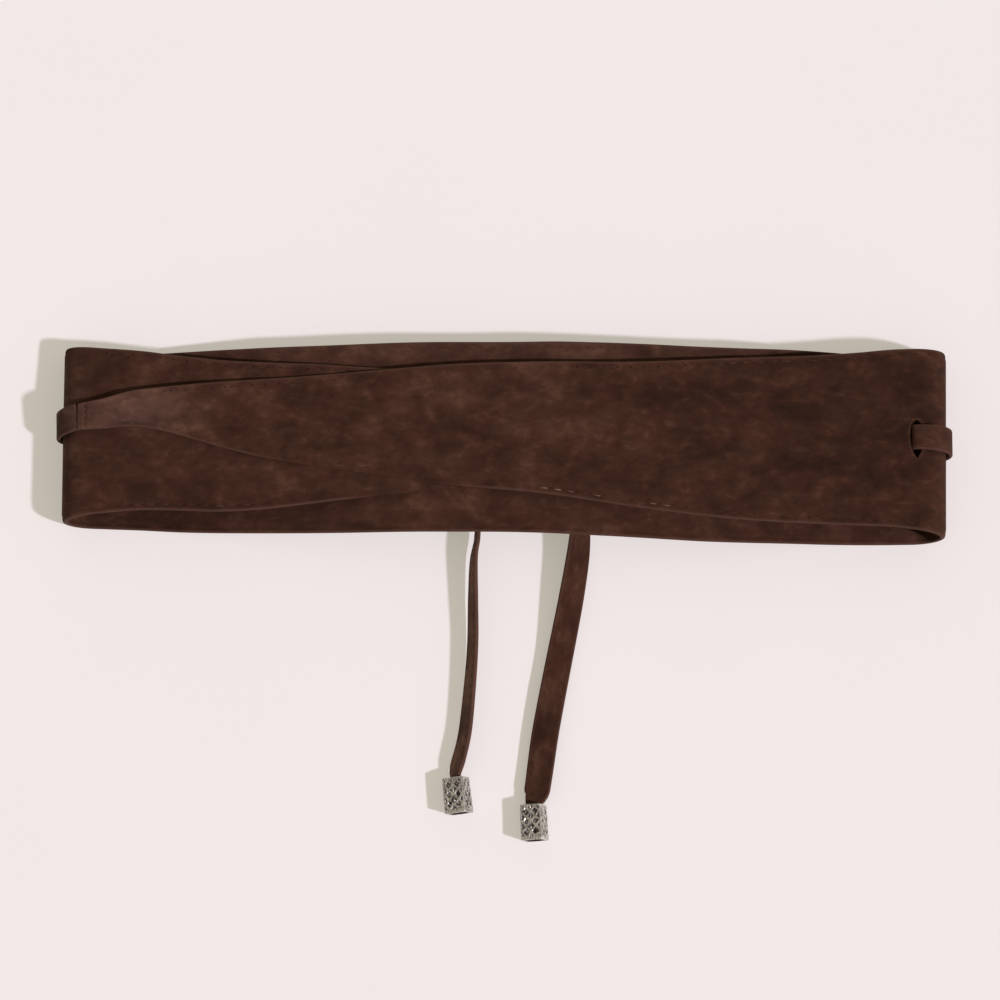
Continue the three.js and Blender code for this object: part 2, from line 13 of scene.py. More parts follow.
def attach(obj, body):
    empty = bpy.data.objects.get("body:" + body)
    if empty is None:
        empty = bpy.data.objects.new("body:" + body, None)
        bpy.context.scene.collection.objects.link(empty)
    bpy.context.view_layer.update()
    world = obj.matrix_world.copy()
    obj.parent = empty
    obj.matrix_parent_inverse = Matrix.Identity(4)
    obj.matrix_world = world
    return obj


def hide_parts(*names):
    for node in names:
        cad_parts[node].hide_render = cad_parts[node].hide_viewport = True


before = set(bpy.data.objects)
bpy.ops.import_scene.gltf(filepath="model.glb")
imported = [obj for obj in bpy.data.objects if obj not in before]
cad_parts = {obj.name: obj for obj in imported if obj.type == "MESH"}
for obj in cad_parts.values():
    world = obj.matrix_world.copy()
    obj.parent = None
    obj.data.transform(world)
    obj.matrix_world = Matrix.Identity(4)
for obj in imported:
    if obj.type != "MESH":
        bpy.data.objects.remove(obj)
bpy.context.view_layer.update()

# Where the layout's origin lies in the frame
ORIGIN = np.array([0.0168, 40.787, 0.0])

# Leather and clearances
PANEL_THICKNESS = 2.0
STRAP_THICKNESS = 1.8
STRAP_WIDTH = 11.2
GAP = 0.35

# The flattened loop: middle heights of its layers, and its two folds
FOLD_OUTER_X = 186.8
FOLD_CORNER = {"drawn_in": 0.7, "over": 3.5, "from_x": 168.0}
FOLD_POWER = 0.92  # 1 would be round folds, and less is squarer
RIGHT_FOLD_LEAN = {"per_mm": 0.016, "from_y": 22.0}
BAND_IS_WIDE = (30.0, 60.0)  # from the first width on, and fully at the second
BACK_REST_Z = PANEL_THICKNESS / 2
INNER_FRONT_Z = 23.25
OUTER_FRONT_Z = INNER_FRONT_Z + PANEL_THICKNESS + GAP
BACK_CREST_Z = INNER_FRONT_Z - PANEL_THICKNESS - GAP
CREST_FROM_X = -28.0
CREST_TO_X = 42.0
BACK_LIFTS_X = 168.0

# The straps where they go round the folds
STRAP_BULGE_X = 188.5
STRAP_REST_Z = STRAP_THICKNESS / 2
CLIMB_ENDS_AT = 38.0
OVER_LEFT_Y = 31.3
OVER_RIGHT_Y = 21.9
STRAP_OVER_RIGHT_Z = OUTER_FRONT_Z + PANEL_THICKNESS / 2 + GAP + STRAP_THICKNESS / 2
SEAM_LEFT_X = -179.4
SEAM_GAP = 0.06
SEAM_LAP = 0.35  # how far the outer strap tucks into the band's end
SEAM_RIGHT_X = 158.7
RIDGE = {"height": STRAP_THICKNESS + 0.5, "flat_for": 8.0, "ends_at": 24.0, "gone_at_z": 14.0}
SLOT = {"x": 173.95, "low": 13.7, "high": 29.3, "width": 5.5, "shoulder": 5.0}
SLOT_DENT = {"x": 177.4, "y": 21.9, "depth": 1.3, "reach_x": 8.5, "reach_y": 12.0, "flat_until": 0.25,
             "starts_over": 0.5}

# The knot and the straps' runs to it
KNOT = {"from_x": -4.0, "to_x": 23.0, "y": 18.0, "z": 9.0, "width": 8.6, "half_turns": 3, "gap": 1.1}
STRAP_LIFTS = {"from_x": -62.0, "to_x": 76.0}
STRAP_RUN_Y = {"left": 28.3, "knot": KNOT["y"] + 1.2, "right": 20.8}

# The end beads
BEAD = {"length": 15.0, "mouth": 9.4, "end": 9.9, "chamfer": 0.8, "bore": 3.4, "relief": 0.55}
BEAD_RIM = {"mouth": 1.0, "end": 1.5, "round": 0.4, "fade": 0.3, "pitch": 1.15, "uneven": 0.07}
BEAD_RIM_RELIEF = {"between": 0.75, "beading": 0.25}
BEAD_FACE = {"inset": 0.25, "outer_relief": 0.75, "inner_relief": 0.25}
BEAD_RINGS = {"side": 110, "rounding": 5, "bore": 8, "bore_inset": 0.3, "faces": (0.35, 0.7, 1.0)}
BEAD_POINTS = {"per_side": 64, "per_corner": 6}

# The beads' cast ornament: sizes, and heights as shares of the relief
ORNAMENT = {"rib": 0.72, "pellet": 1.2, "leaf": (0.5, 1.3), "drop": 0.8, "wander": 0.62, "worn": 0.5}
ORNAMENT_HEIGHT = {"rib": 0.85, "leaf": 0.8, "drop": 0.55}
STRAP_TIP = {"width": 5.8, "before": 0.6, "turned": 5.0, "depth": 10.0, "z": 5.9, "shoulder": 7.0}
BEADS = {
    "bead_right": {"mouth": (12.0, -130.7), "heading": 2.8, "turn": 18.0, "seed": 1.0},
    "bead_left": {"mouth": (-20.5, -119.4), "heading": 5.9, "turn": 21.0, "seed": 14.0},
}

# The left end of the loop sinks a little towards its high side
HIGH_SIDE_SINKS = {"share": 0.14, "y": (26.0, 60.0), "to_the_left": (120.0, 176.0)}

# Soft unevenness that all layers share: height, scale along X, Y and Z, and seed
WAVES = [(0.5, (46, 22, 1), 3.7), (0.16, (17, 10, 1), 11.3)]
WAVES_GROW_Z = (3.0, 22.0)

# Slow swells of the lying leather, as shares of its height
LONG_SWELL = {"share": 0.018, "wave": 58.0, "start": 0.8}
SHORT_SWELL = {"share": 0.0105, "wave": 24.0, "slant": 19.0}
SWELLS_GROW_Y = (-45.0, -20.0)

# Edges of the outer front: x, low edge, high edge
OUTER_FRONT = [
    [SEAM_LEFT_X, 25.5, 36.9], [-169.6, 25.9, 39.0], [-157.0, 26.8, 42.5],
    [-144.5, 25.2, 44.0], [-131.9, 21.7, 45.2], [-110.9, 15.9, 46.7],
    [-89.9, 11.7, 48.1], [-50.5, 6.2, 51.3], [-21.1, 1.9, 53.6], [15.0, -1.7, 54.7],
    [56.9, -7.9, 54.6], [96.8, -12.7, 56.2], [132.5, -14.6, 57.4], [150.0, -15.3, 58.7],
    [164.0, -16.0, 60.0], [174.2, -17.3, 60.4],
]

# Edges of the back: x, low edge, high edge
BACK = [
    [-175.4, -12.6, 61.6], [-155.0, -13.4, 62.5], [-137.0, -14.6, 63.1],
    [-110.0, -15.8, 63.6], [-70.0, -17.0, 63.6], [-30.0, -17.2, 64.1],
    [5.0, -17.4, 64.2], [20.0, -17.9, 64.4], [38.0, -18.8, 64.0], [57.0, -19.7, 63.5],
    [84.0, -20.6, 62.9], [104.0, -20.4, 62.9], [121.0, -20.1, 63.1],
    [138.0, -20.0, 62.7], [174.2, -19.5, 59.8],
]

# Edges of the inner front: x, low edge, high edge
INNER_FRONT = [
    [-175.4, -10.2, 62.1], [-153.0, -8.3, 60.3], [-136.2, -8.5, 57.9],
    [-119.8, -9.0, 56.0], [-101.3, -8.0, 55.0], [-81.2, -5.6, 54.3],
    [-58.5, -2.8, 52.8], [-21.1, 1.2, 50.4], [15.0, 3.4, 47.0], [57.0, 6.6, 42.2],
    [97.0, 10.4, 37.2], [132.0, 15.0, 31.6], [150.0, 16.9, 29.0],
    [SEAM_RIGHT_X, 17.1, 28.5],
]

# Middle line and width of the inner strap where it climbs through the slot: x, y, z, width
CLIMB = [
    [SEAM_RIGHT_X + SEAM_GAP, 22.8, 23.1, STRAP_WIDTH],
    [166.0, 22.7, 23.1, STRAP_WIDTH], [169.2, 22.5, 23.1, 10.8],
    [171.2, 22.4, 23.15, 10.6], [171.85, 22.4, 23.6, 10.5], [172.1, 22.3, 24.6, 10.5],
    [172.12, 22.3, 25.6, 10.5], [172.2, 22.3, 26.35, 10.5], [172.6, 22.2, 26.8, 10.6],
    [173.6, 22.2, 27.0, 10.6], [176.4, 22.2, 27.05, 10.7], [178.8, 22.1, 27.05, 10.9],
    [181.4, 22.0, 26.6, STRAP_WIDTH],
]

# Free end of the outer strap: x, y, z, turn of its width from level in degrees, width
RIGHT_END = [
    [31.3, 8.4, 9.2, -90, 10.0], [32.3, 0.0, 9.8, -77, 11.0],
    [32.5, -9.0, 10.0, -60, 11.4], [31.9, -17.7, 9.4, -42, 11.5],
    [31.0, -26.2, 8.4, -33, 11.5], [28.3, -42.8, 7.1, -22, 11.4],
    [25.9, -55.3, 5.5, -17, 11.4], [23.4, -67.8, 4.4, -13, 11.4],
    [20.1, -84.7, 4.5, -8, 11.4], [17.0, -101.7, 4.6, -2, 11.4],
    [15.2, -114.4, 5.2, 6, 11.3], [14.0, -122.9, 5.8, 12, 11.2],
    [13.3, -126.8, 6.0, 15, 11.2],
]

# Free end of the inner strap, which stays on its edge
LEFT_END = [
    [-12.0, 8.9, 9.4, 90, 10.0], [-11.6, -4.0, 9.7, 88, 11.0],
    [-11.4, -17.6, 9.6, 84, 11.1], [-12.8, -26.1, 9.0, 80, 11.1],
    [-13.2, -42.8, 8.3, 74, 11.1], [-13.3, -62.0, 7.3, 71, 11.1],
    [-14.9, -85.0, 6.6, 67, 11.1], [-16.8, -101.8, 6.4, 64, 11.1],
    [-19.1, -111.5, 6.3, 62, 11.2], [-20.4, -116.4, 6.1, 61, 11.2],
]

# Fine shape of the leather
STITCH_ROW = 2.35  # from an edge
STITCH = {"length": 3.3, "pitch": 5.7, "radius": 0.3, "sunk": 0.2, "groove": 0.55}
STITCHES_FROM_END = 5.0
STITCHES_WANDER = {"along": 0.35, "aside": 0.12}
SEAM_ROW = {"count": 4, "inset": 0.9, "from": 0.12, "to": 0.88, "shows": 0.15}
# Needle marks: small sunk pits beside the showing stitches, coloured dark as painted shade in the pits
NEEDLE_MARK = {"length": 1.5, "radius": 0.4, "sunk": 0.14, "shows": -0.6}
EDGE_ROUND = 0.6
EDGE_COLUMNS = [0, 0.05, 0.15, 0.3, 0.5, 0.8, 1.2, 1.7, 2.2, 2.7, 3.2, 3.8, 4.8, 6.5, 9.0]
MIDDLE_COLUMNS = 41
NARROW_BAND = 24.0  # below this width, the columns and the rows of stitches draw together
STATION_STEP = {"seam": 0.4, "slot": 1.0, "fold": 1.3, "outer": 2.2, "inner": 2.6, "back": 3.0}
SEAM_STATIONS_END = 8.0
SLOT_EASES_OVER = 14.0
SLOT_EASE_POWER = 1.5
SEAM_GROOVE = {"from_end": 3.3, "wide": 0.6, "deep": 0.4, "clear_of_edge": 0.4}

# Fine shape of the straps
STRAP_EDGE_ROUND = 0.8
STRAP_EDGE_COLUMNS = [0, 0.06, 0.2, 0.42, 0.7, 1.05, 1.5]
STRAP_MIDDLE_COLUMNS = 6
STRAP_STEP = 1.2
STRAP_STATIONS = {"fold": 25, "flat": 9, "climb": 11, "knot": 37, "turn": 6}

# Where the suede's noises are read, for the face with the normal and the one behind it
NOISE_DEPTHS = {"band": (0.0, 60.0), "straps": (150.0, 110.0)}

# How far the high edge of the outer front stands up: x, height. It falls in a straight slope.
TIP_LIFT = [
    [-181.0, 2.5], [-174.0, 2.7], [-160.0, 3.2], [-144.5, 3.3], [-117.0, 3.0],
    [-104.0, 2.0], [-92.0, 0.5], [-80.0, 0.0],
]
TIP_LIFT_REACH = 12.5
RAISED_DRAWS_IN = 0.17  # how far a raised edge moves inward, as a share of its rise
LEFT_STRAP_ROLL = {"degrees": 11.5, "gone_at": 98.0, "sunk": 0.1, "rises_by": 70.0}
LEFT_STRAP_SETTLES_AT = 108.0  # degrees round the left fold

# Where other free edges curl up: the layer, its edge, the stretch along X, how high and how far in.
# A lift is whole over the middle share of its stretch.
LIFT_IS_WHOLE = 0.35
EDGE_LIFTS = [
    ["outer", "low", -172.0, -66.0, 1.1, 6.0],
    ["inner", "low", -172.0, -70.0, 0.5, 7.0],
    ["outer", "high", -62.0, 112.0, 2.0, 10.0],
    ["outer", "low", 10.0, 120.0, 0.6, 7.0],
]

# Where low edges are pressed thin into the leather below: x, share of the thickness left there
LOW_EDGE_THIN = {
    "outer": [[-172.0, 1.0], [-106.0, 0.9], [-88.0, 0.5], [-72.0, 0.2], [-54.0, 0.2], [-34.0, 0.55],
              [-8.0, 1.0]],
    "inner": [[-66.0, 1.0], [-56.0, 0.25], [-20.0, 0.25], [-10.0, 1.0]],
}
LOW_EDGE_THIN_REACH = 9.0

# The back's high edge rises towards the fronts between the folds
BACK_EDGE_RISE = {"left": 7.5, "right": 11.0, "reach": 25.0, "clear": 0.45}
BACK_EDGE_RISE_ENDS = (142.0, 172.0)  # on both sides of the middle

# How far the low and high edges stand out where they round the folds, and how much of an edge's
# way from a top layer to the one below is done half way round
FOLD_EDGE_BULGE = {"left": (0.4, 1.0), "right": (0.3, 0.3)}
FOLD_EDGE_TURN = 0.64

# Where stitches show best: the layer, its edge, the stretch along X, and how well from 0 to 1
STITCHES_SHOW = [
    ["outer", "low", 12.0, 30.0, 0.9],
    ["outer", "low", 30.0, 35.0, 0.3],
    ["outer", "low", 35.0, 41.0, 1.0],
    ["outer", "low", 41.0, 58.0, 0.25],
    ["outer", "low", 58.0, 70.0, 1.0],
    ["outer", "low", 70.0, 170.0, 0.2],
    ["outer", "high", -150.0, -60.0, 0.2],
    ["outer", "high", 22.0, 76.0, 0.14],
    ["outer", "high", 76.0, 176.0, 0.24],
    ["inner", "high", -176.0, -60.0, 0.2],
    ["inner", "low", -172.0, -100.0, 0.26],
    ["back", "high", -60.0, 60.0, 0.14],
    ["back", "low", -20.0, 60.0, 0.14],
]
STITCH_SHOWS = {"least": 0.06, "usual_share": 0.85}

# Threads wound over the slot's edge: where they start and end, out from it
OVERCAST = {"from": 0.15, "to": 1.35, "spacing": 0.5, "radius": 0.28, "sunk": 0.06}
OVERCAST_SHOWS = {"middle": 0.26, "least": 0.14, "most": 0.45}
OVERCAST_UNEVEN = 0.25

# A thread's rings from end to end: the place along it, its size, and its rise in radii
THREAD_RINGS = [(0.0, 0.35, -0.8), (0.16, 0.85, -0.1), (0.38, 1.0, 0.35),
                (0.62, 1.0, 0.35), (0.84, 0.85, -0.1), (1.0, 0.35, -0.8)]
THREAD_SIDES = 6
HIDDEN_THREAD = {"deeper": 0.6, "size": 0.8}

# Rows of smaller stitches along both edges of the straps, which show only by the slot
STRAP_STITCH = {"row": 2.1, "length": 3.1, "pitch": 4.3, "radius": 0.24, "depth": 0.16, "from_end": 1.0}
STRAP_STITCHES_SHOW = {
    "strap_outer": {"from": 0.0, "to": 0.0, "shows": 0.0},
    "strap_inner": {"from": 18.0, "to": 33.0, "shows": 0.3},
}
STRAP_STITCH_SHOWS = {"least": 0.04, "uneven": 0.5}

# Tone along the straps: distance from the named end, and the change of brightness
STRAP_TONES = {
    # Painted light: the outer strap's start, lighter like the outer front's narrow end beside it
    "strap_outer": {"end": "start", "rows": [[0.0, 0.75], [10.0, 0.55], [28.0, 0.0]]},
    "strap_inner": {"end": "tip", "rows": [[0.0, 1.25], [110.0, 1.25], [150.0, 0.0]]},
}

# Broad tone changes, some of them painted light and shade: the layer, x, y, reach along X and Y, and the
# change
TONES = [
    # Painted light: the outer front's narrow end made lighter, as it faces the key light
    ["outer", -158.0, 34.0, 48.0, 30.0, 0.8],
    ["outer", -150.0, 4.0, 60.0, 22.0, -0.16],
    ["outer", 2.0, 40.0, 62.0, 26.0, 0.16],
    ["outer", 150.0, 25.0, 100.0, 70.0, -0.32],
    ["outer", 74.0, 30.0, 34.0, 26.0, -0.16],
    # Painted light: the left fold's side, turned away from the key light, made lighter
    ["inner", -187.0, 22.0, 17.0, 95.0, 0.4],
    ["inner", -160.0, 52.0, 60.0, 16.0, -0.02],
    ["inner", -105.0, 53.0, 60.0, 12.0, 0.12],
    ["inner", -150.0, 2.0, 70.0, 26.0, -0.14],
    # Painted light: the back's strip beyond the fronts' high edges, made lighter against the shade they
    # cast on it
    ["back", 0.0, 66.0, 260.0, 20.0, 0.4],
    # Painted shade: the back made darker inside the opening under the inner front's low edge, at the
    # left
    ["back", -158.0, -13.0, 48.0, 16.0, -0.34],
]

# The photograph's view, in the layout
PIXEL = 0.425
CAMERA = {"target": (-1.83, 0.0, 0.0), "distance": 2000.0, "elevation": 80.0, "sensor": 36.0,
          "clip": (0.1, 20.0)}
IMAGE_WIDTH = 1000

# Light
SKY = {"colour": (0.459, 0.422, 0.363), "horizon": 0.25, "full_from": 0.7}
KEY = {"energy": 2.76, "colour": (1.0, 0.9126, 1.094), "angle": 3.5, "towards": (0.85, -0.40, 1.0)}

# The suede's noises: scale, roughness, distortion, squeeze and shift of the place where they are
# read, and share in the tone
SUEDE_NOISES = {
    "patches": [44.0, 0.5, 0.3, (1.0, 1.35, 1.0), (0.0, 0.0, 0.0), 1.38],
    "blotches": [105.0, 0.5, 0.5, (1.0, 1.35, 1.0), (0.7, 0.2, 0.4), 1.25],
    "strokes": [240.0, 0.5, 0.6, (1.0, 1.6, 1.0), (0.3, 0.9, 0.1), 0.66],
    "nap": [1300.0, 0.6, 0.0, (1.0, 1.0, 1.0), (0.0, 0.0, 0.0), 0.12],
    "tint": [80.0, 0.5, 0.0, (1.0, 1.35, 1.0), (0.1, 0.6, 0.8), 0.0],
}
SUEDE_NOISE_DETAIL = 2.0
SUEDE_HUES = {
    "brown": (0.0446, 0.0190, 0.0096),
    "reddish": (0.0468, 0.0181, 0.0097),
    "rubbed": (0.0442, 0.0204, 0.0119),
    # greyer colour where the broad tones are raised, painted light among them
    "greyed_tone_and_painted_light": (0.0468, 0.0240, 0.0160),
    # the thin lighter edge line: paler cut leather, with a painted highlight where light catches the
    # rounded edge
    "cut_edge_and_highlight": (0.088, 0.045, 0.030),
    "sheen": (0.6, 0.36, 0.26),
}
# Width and share of the thin lighter edge line: paler cut leather with a painted highlight
CUT_EDGE_AND_HIGHLIGHT = {"width": 0.0014, "share": 0.66}

# How noises and attributes turn into shares: from, to, and the shares there if not 0 and 1
RAMPS = {
    "light_strokes": (0.28, 0.42, 0.0, 0.16),
    "tint": (0.35, 0.65),
    "rubbed": (0.85, 1.6, 0.0, 0.85),
    "greyed_tone_and_painted_light": (0.0, 0.9),
    "clear_thread": (0.05, 1.0),
    "two_colours": (0.3, 0.7),
    "silver_wear": (0.3, 0.7, -0.2, 0.2),
    "bright": (0.2, 1.0),
    "tarnish": (0.42, 0.7, 0.0, 0.5),
    "silver_roughness": (0.0, 1.0, 0.6, 0.26),
}

# Threads, silver and floor: each pair runs from the dark places of a noise to its light ones
HIDDEN_THREADS = [(0.036, 0.0155, 0.008), (0.052, 0.022, 0.012)]
CLEAR_THREADS = [(0.145, 0.080, 0.052), (0.225, 0.138, 0.098)]
# Painted shade in the needle-mark pits
NEEDLE_MARK_PAINTED_SHADE = (0.017, 0.0075, 0.0045)
SILVER = {"oxide": (0.036, 0.032, 0.027), "rubbed": (0.76, 0.73, 0.67), "tarnish": (0.15, 0.135, 0.115)}
FLOOR_COLOURS = [(0.495, 0.497, 0.497), (0.505, 0.503, 0.503)]
FLOOR_GLOW = (0.364, 0.3346, 0.2872)
FLOOR = {"half_size": 4.0, "below": 0.00005}


# Small tools

def smoothstep(value, low, high):
    share = np.clip((value - low) / (high - low), 0.0, 1.0)
    return share * share * (3 - 2 * share)


def lerp(a, b, share):
    return a + (b - a) * share


def hermite(p1, m1, p2, m2, t):
    square, cube = t * t, t * t * t
    ends = (2 * cube - 3 * square + 1) * p1 + (3 * square - 2 * cube) * p2
    return ends + (cube - 2 * square + t) * m1 + (cube - square) * m2


def curve_through(rows):
    """A smooth function of a table's first column, through its other columns."""
    rows = np.array(rows, float)
    places, values = rows[:, 0], rows[:, 1:]
    slopes = np.gradient(values, places, axis=0)

    def at(place):
        place = np.atleast_1d(place)
        i = np.clip(np.searchsorted(places, place) - 1, 0, len(places) - 2)
        span = (places[i + 1] - places[i])[:, None]
        t = (place - places[i])[:, None] / span
        return hermite(values[i], slopes[i] * span, values[i + 1], slopes[i + 1] * span, t)

    return at


def squarish(value):
    """A sine or cosine that is pushed out, so that a fold is a little squarer than a half circle."""
    return np.sign(value) * np.abs(value) ** FOLD_POWER


def soft_noise(points, scale, seed):
    """Perlin noise, about -1 to 1, at points whose coordinates are divided by scale."""
    shifted = np.asarray(points, float) / np.asarray(scale, float) + seed
    return np.array([noise.noise(point) for point in shifted])


def luck(i, step, second, third):
    """A steady uneven number, about -1 to 1, for the i-th thing of a row."""
    return noise.noise(Vector((i * step, second, third)))


def settle(points):
    """Every layer rises and falls together with the swells, and what rests lies flat."""
    x, y, z = points.T
    long = LONG_SWELL["share"] * np.sin(x / LONG_SWELL["wave"] + LONG_SWELL["start"])
    short = SHORT_SWELL["share"] * np.sin(x / SHORT_SWELL["wave"] + y / SHORT_SWELL["slant"])
    kept = smoothstep(y, *SWELLS_GROW_Y)
    sinks = smoothstep(y, *HIGH_SIDE_SINKS["y"]) * smoothstep(-x, *HIGH_SIDE_SINKS["to_the_left"])
    flat = np.maximum(0, z) * (1 + (long + short) * kept - HIGH_SIDE_SINKS["share"] * sinks)
    return np.stack([x, y, flat], 1)


def make_piece(name, points, faces, material, attributes=None):
    """A smooth-shaded mesh object from layout points in millimetres, on the belt's one body."""
    mesh = bpy.data.meshes.new(name)
    places = (np.asarray(points) + ORIGIN) / 1000
    mesh.from_pydata(places.tolist(), [], faces)
    for key, values in (attributes or {}).items():
        values = np.asarray(values, np.float32)
        kind, field = ("FLOAT_VECTOR", "vector") if values.ndim == 2 else ("FLOAT", "value")
        mesh.attributes.new(key, kind, "POINT").data.foreach_set(field, values.ravel())
    mesh.materials.append(material)
    mesh.shade_smooth()
    mesh.validate()
    piece = bpy.data.objects.new(name, mesh)
    bpy.context.scene.collection.objects.link(piece)
    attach(piece, "root")
    return piece


def between_rows(at, places, rows):
    """A table's values, straight between its rows, which stand at known places."""
    return np.array([np.interp(at, places, column) for column in rows.T])


def tube_faces(count, ring, closed=False):
    """Quads between count rings of points, and from the last one to the first if closed."""
    here = np.arange(count * ring).reshape(count, ring)
    following = np.roll(here, -1, 0)
    quads = np.stack([here, np.roll(here, -1, 1), np.roll(following, -1, 1), following], -1)
    return quads[:count if closed else -1].reshape(-1, 4).tolist()


# The band's middle surface

LEFT_FOLD_R = (INNER_FRONT_Z - BACK_REST_Z) / 2
RIGHT_FOLD_R = (OUTER_FRONT_Z - BACK_REST_Z) / 2
LEFT_FOLD_X = -FOLD_OUTER_X + PANEL_THICKNESS / 2 + LEFT_FOLD_R
RIGHT_FOLD_X = FOLD_OUTER_X - PANEL_THICKNESS / 2 - RIGHT_FOLD_R
LEFT_STRAP_LOOP = {
    "x": LEFT_FOLD_X,
    "z": (OUTER_FRONT_Z + STRAP_REST_Z) / 2,
    "reach": STRAP_BULGE_X + LEFT_FOLD_X,
    "rise": (OUTER_FRONT_Z - STRAP_REST_Z) / 2,
}
RIGHT_STRAP_LOOP = {
    "x": RIGHT_FOLD_X,
    "z": (STRAP_OVER_RIGHT_Z + STRAP_REST_Z) / 2,
    "reach": STRAP_BULGE_X - RIGHT_FOLD_X,
    "rise": (STRAP_OVER_RIGHT_Z - STRAP_REST_Z) / 2,
}


def outer_front_height(x):
    """Level, but for the narrow end, which starts to follow the strap round the left fold."""
    loop = LEFT_STRAP_LOOP
    past = np.maximum(0, loop["x"] - x) / loop["reach"]
    return loop["z"] + loop["rise"] * (1 - past ** (2 / FOLD_POWER)) ** (FOLD_POWER / 2)


def back_height(x):
    left = smoothstep(x, -BACK_LIFTS_X, CREST_FROM_X)
    right = smoothstep(-x, -BACK_LIFTS_X, -CREST_TO_X)
    return BACK_REST_Z + (BACK_CREST_Z - BACK_REST_Z) * np.minimum(left, right)


def inner_front_height(x):
    return np.full_like(x, INNER_FRONT_Z)


def layer_path(rows, height, from_x, to_x, count=700):
    x = np.linspace(from_x, to_x, count)
    low, high = curve_through(rows)(x).T
    return np.stack([x, height(x), low, high], 1)


def edge_turn(share):
    """How much of an edge's way from a top layer to the one below is done at a share of the fold."""
    sideways = np.abs(np.sin(math.pi * share))
    return np.where(share < 0.5, FOLD_EDGE_TURN * sideways, 1 - (1 - FOLD_EDGE_TURN) * sideways)


def fold_path(before, after, centre_x, side, count=240):
    """Rows round a fold, between the last row before it and the first one after it."""
    radius = abs(before[1] - after[1]) / 2
    share = np.linspace(0, 1, count)[1:-1]
    angle = (0 if before[1] > after[1] else math.pi) + math.pi * share
    mix = edge_turn(share) if side > 0 else 1 - edge_turn(1 - share)
    x = centre_x + side * radius * np.abs(squarish(np.sin(angle)))
    z = (before[1] + after[1]) / 2 + radius * squarish(np.cos(angle))
    low_bulge, high_bulge = FOLD_EDGE_BULGE["right" if side > 0 else "left"]
    low = lerp(before[2], after[2], mix) - low_bulge * np.abs(np.sin(angle))
    high = lerp(before[3], after[3], mix) + high_bulge * np.abs(np.sin(angle))
    return np.stack([x, z, low, high], 1)


class BandPath:
    """The band's middle line round the loop, by length: outer front, back, inner front."""

    def __init__(self):
        outer = layer_path(OUTER_FRONT, outer_front_height, SEAM_LEFT_X, RIGHT_FOLD_X)
        back = layer_path(BACK, back_height, RIGHT_FOLD_X, LEFT_FOLD_X)
        inner = layer_path(INNER_FRONT, inner_front_height, LEFT_FOLD_X, SEAM_RIGHT_X)
        right = fold_path(outer[-1], back[0], RIGHT_FOLD_X, 1)
        left = fold_path(back[-1], inner[0], LEFT_FOLD_X, -1)
        path = np.concatenate([outer, right, back, left, inner])
        moves = np.diff(path[:, :2], axis=0)
        self.s = np.concatenate([[0], np.cumsum(np.hypot(*moves.T))])
        along = np.gradient(path[:, :2], self.s, axis=0)
        along /= np.linalg.norm(along, axis=1)[:, None]
        self.rows = np.column_stack([path, -along[:, 1], along[:, 0]])
        ends = np.cumsum([len(outer), len(right), len(back), len(left)])
        self.outer_end, self.back_start, self.back_end, self.inner_start = self.s[ends - 1]
        self.length = self.s[-1]

    def at(self, s):
        """x, z, low edge, high edge and the normal's x and z, at lengths s."""
        return between_rows(s, self.s, self.rows)

    def s_at_outer_x(self, x):
        outer = self.s <= self.outer_end
        return float(np.interp(x, self.rows[outer, 0], self.s[outer]))


def strap_run_y(x):
    """Middle line of the straps where they run under the back, from the folds to the knot."""
    left_share = (x - LEFT_FOLD_X) / (KNOT["from_x"] - LEFT_FOLD_X)
    right_share = (x - KNOT["to_x"]) / (RIGHT_FOLD_X - KNOT["to_x"])
    left = lerp(STRAP_RUN_Y["left"], STRAP_RUN_Y["knot"], left_share)
    right = lerp(STRAP_RUN_Y["knot"], STRAP_RUN_Y["right"], right_share)
    return np.where(x < KNOT["from_x"], left, right)


def ridge_over_strap(x, y, z):
    """How far the strap below lifts the back where it lies low."""
    aside = np.abs(y - strap_run_y(x))
    ridge = RIDGE["height"] * (1 - smoothstep(aside, RIDGE["flat_for"], RIDGE["ends_at"]))
    return ridge * np.clip((RIDGE["gone_at_z"] - z) / (RIDGE["gone_at_z"] - BACK_REST_Z), 0, 1)


def fold_shift(x, y, low, high):
    """How far a wide fold's points move along X: corners drawn in, and the right fold leaning."""
    is_wide = smoothstep(high - low, *BAND_IS_WIDE)
    is_fold = is_wide * smoothstep(np.abs(x), FOLD_CORNER["from_x"], FOLD_OUTER_X)
    to_edge = np.minimum(y - low, high - y)
    drawn_in = FOLD_CORNER["drawn_in"] * np.maximum(0, 1 - to_edge / FOLD_CORNER["over"]) ** 2
    lean = np.where(x > 0, RIGHT_FOLD_LEAN["per_mm"] * (y - RIGHT_FOLD_LEAN["from_y"]), 0)
    return is_fold * (lean - np.sign(x) * drawn_in)


def edge_lift(band, s, x, y, low, high):
    """How far free edges curl up."""
    tip = curve_through(TIP_LIFT)(np.clip(x, TIP_LIFT[0][0], TIP_LIFT[-1][0]))[:, 0]
    total = (s <= band.outer_end) * tip * np.clip(1 - (high - y) / TIP_LIFT_REACH, 0, 1)
    for layer, edge, from_x, to_x, height, reach in EDGE_LIFTS:
        in_layer = s <= band.outer_end if layer == "outer" else s >= band.inner_start
        aside = high - y if edge == "high" else y - low
        middle, half = (from_x + to_x) / 2, (to_x - from_x) / 2
        along = 1 - smoothstep(np.abs(x - middle) / half, LIFT_IS_WHOLE, 1.0)
        total += in_layer * along * np.clip(1 - aside / reach, 0, 1) ** 2 * height
    return total


